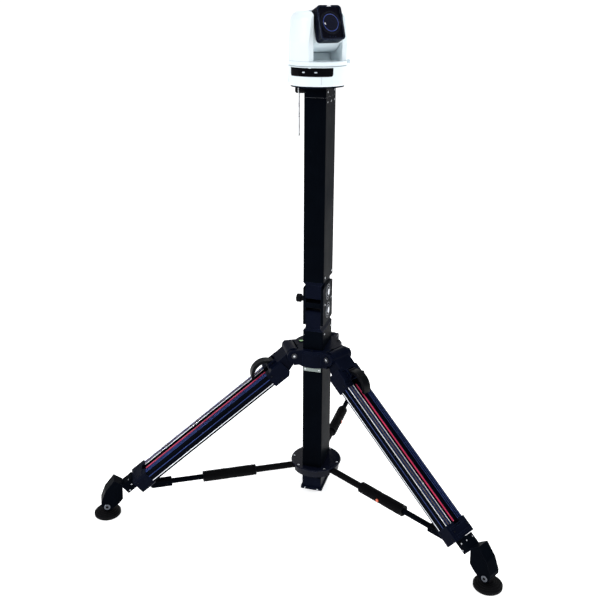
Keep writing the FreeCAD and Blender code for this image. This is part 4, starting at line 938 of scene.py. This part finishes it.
def head_details():
    """Lens, rim, signal window and the parting line of the white housing."""
    place = head_place()
    lens_details(place @ Matrix.Translation((0, -LENS_FACE, 0)) @ Matrix.Rotation(math.radians(90), 4, "X"))
    bezel_rim(place)
    bm = bmesh.new()
    add_box(bm, (-0.0055, -0.0712, 0.0392), (0.0055, -0.0640, 0.0426))
    piece(bm, "signal_window", "head", "bezel_black", TALLY, place, bevel=0.0005)
    bm = bmesh.new()
    for side in (-1, 1):
        x0, x1 = sorted((side * 0.03985, side * 0.04012))
        add_box(bm, (x0, -0.0418, -0.0003), (x1, -0.012, 0.0003))
    piece(bm, "housing_seam", "head", "white_shell", SEAM, place)


SADDLE_SWING = 0.0535        # the head's drum turns inside this radius
SADDLE_FLOOR = -0.0702       # from the tilt axis down to the yoke's floor
SADDLE_BACK = 0.0622
SADDLE_HALF = 0.0421
SADDLE_TOP = 0.004


def yoke_saddle():
    """Wall behind the head, between the yoke's arms, hollowed round the head's swing."""
    tilt = Vector(JOINTS["camera_tilt"]["pos_m"])
    across = -Vector(JOINTS["camera_tilt"]["axis"]).normalized()
    behind = Vector((0, 0, 1)).cross(across)
    outline = [(0.004, SADDLE_FLOOR)]
    for degrees in range(-80, 1, 4):
        a = math.radians(degrees)
        outline.append((SADDLE_SWING * math.cos(a), SADDLE_SWING * math.sin(a)))
    outline += [(SADDLE_BACK, SADDLE_TOP), (SADDLE_BACK, SADDLE_FLOOR)]
    bm = bmesh.new()
    ends = [[bm.verts.new(tilt + across * x + behind * y + Vector((0, 0, z))) for y, z in outline]
            for x in (-SADDLE_HALF, SADDLE_HALF)]
    for i in range(len(outline)):
        k = (i + 1) % len(outline)
        bm.faces.new((ends[0][i], ends[0][k], ends[1][k], ends[1][i]))
    for end in ends:
        bm.faces.new(end)
    piece(bm, "yoke_saddle", "yoke", "white_shell", bevel=0.0006)


def yoke_details():
    """Wall behind the head, and a parting line round the turning body."""
    yoke_saddle()
    pan = JOINTS["camera_pan"]["pos_m"]
    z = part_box("camera_base_shell")[1].z + 0.0125
    bm = bmesh.new()
    add_lathe(bm, [(0.0758, z - 0.0003), (0.07612, z - 0.0002), (0.07612, z + 0.0002), (0.0758, z + 0.0003)],
              128, Matrix.Translation((pan[0], pan[1], 0)))
    piece(bm, "yoke_seam", "yoke", "white_shell", SEAM)


base_details()
head_details()
yoke_details()


def tag_details():
    """Dark clip at the lower end of the hanging tag."""
    low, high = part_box("hanging_tag")
    middle = (low + high) / 2
    bm = bmesh.new()
    add_box(bm, (low.x - 0.0004, middle.y - 0.0026, low.z - 0.0004),
            (high.x + 0.0004, middle.y + 0.0026, low.z + 0.0065))
    piece(bm, "tag_clip", "tag", "black_plastic", bevel=0.0006)


tag_details()


# ---------------------------------------------------------------- stage and light
def stage():
    """Plain pale floor that curves up into a pale backdrop."""
    bm = bmesh.new()
    rows = []
    for i in range(60):
        t = i / 59
        if t < 0.5:
            y, z = -6 + 20 * t, 0.0
        else:
            a = (t - 0.5) * math.pi
            y, z = 4 + 8 * math.sin(a), 8 - 8 * math.cos(a)
        rows.append([bm.verts.new((x, y, z)) for x in (-14, 14)])
    for a, b in zip(rows, rows[1:]):
        bm.faces.new((a[0], a[1], b[1], b[0]))
    mesh = bpy.data.meshes.new("floor")
    bm.to_mesh(mesh)
    bm.free()
    for face in mesh.polygons:
        face.use_smooth = True
    g = Graph("floor_white")
    g.link(g.mix(g.span(g.noise(0.6, 2.0), 0.0, 1.0), (0.90, 0.90, 0.90), (0.94, 0.94, 0.94)),
           g.shader.inputs["Base Color"])
    g.shader.inputs["Roughness"].default_value = 0.9
    g.shader.inputs["Specular IOR Level"].default_value = 0.1
    g.shader.inputs["Emission Color"].default_value = (1, 1, 1, 1)
    g.shader.inputs["Emission Strength"].default_value = 0.66
    mesh.materials.append(g.material)
    floor = bpy.data.objects.new("floor", mesh)
    scene.collection.objects.link(floor)


def soft_light(name, place, target, size, power, colour=(1, 1, 1)):
    """Rectangular lamp at a place, facing a target."""
    data = bpy.data.lights.new(name, "AREA")
    data.shape = "RECTANGLE"
    data.size, data.size_y = size
    data.energy = power
    data.color = colour
    lamp = bpy.data.objects.new(name, data)
    lamp.matrix_world = facing(Vector(place), Vector(place) - Vector(target))
    scene.collection.objects.link(lamp)
    return lamp


def light():
    """Even studio light: a pale world, a large lamp overhead and one on each side."""
    world = bpy.data.worlds.new("studio")
    scene.world = world
    world.use_nodes = True
    background = world.node_tree.nodes["Background"]
    background.inputs["Color"].default_value = (0.95, 0.97, 1.0, 1.0)
    background.inputs["Strength"].default_value = 0.32
    soft_light("overhead", (0.0, 0.2, 5.0), (0, 0, 0.5), (5.0, 5.0), 120.0)
    key = soft_light("key_right", (3.6, 0.2, 2.6), (0, 0, 0.8), (1.0, 2.6), 60.0, (0.93, 0.97, 1.0))
    key.visible_glossy = False   # kept out of reflections, so that the black metal stays dark
    # two small lamps that put the two catchlights on the lens
    for name, place in (("catch_near", (1.96, -1.66, 3.0)), ("catch_far", (2.24, -1.30, 3.0))):
        soft_light(name, place, (0.04, -0.08, 1.4), (0.24, 0.24), 6.0)
    soft_light("fill_left", (-2.6, -3.0, 2.8), (0, 0, 1.0), (1.0, 1.8), 85.0, (0.97, 0.98, 1.0))
    scene.view_settings.view_transform = "Standard"


stage()
light()
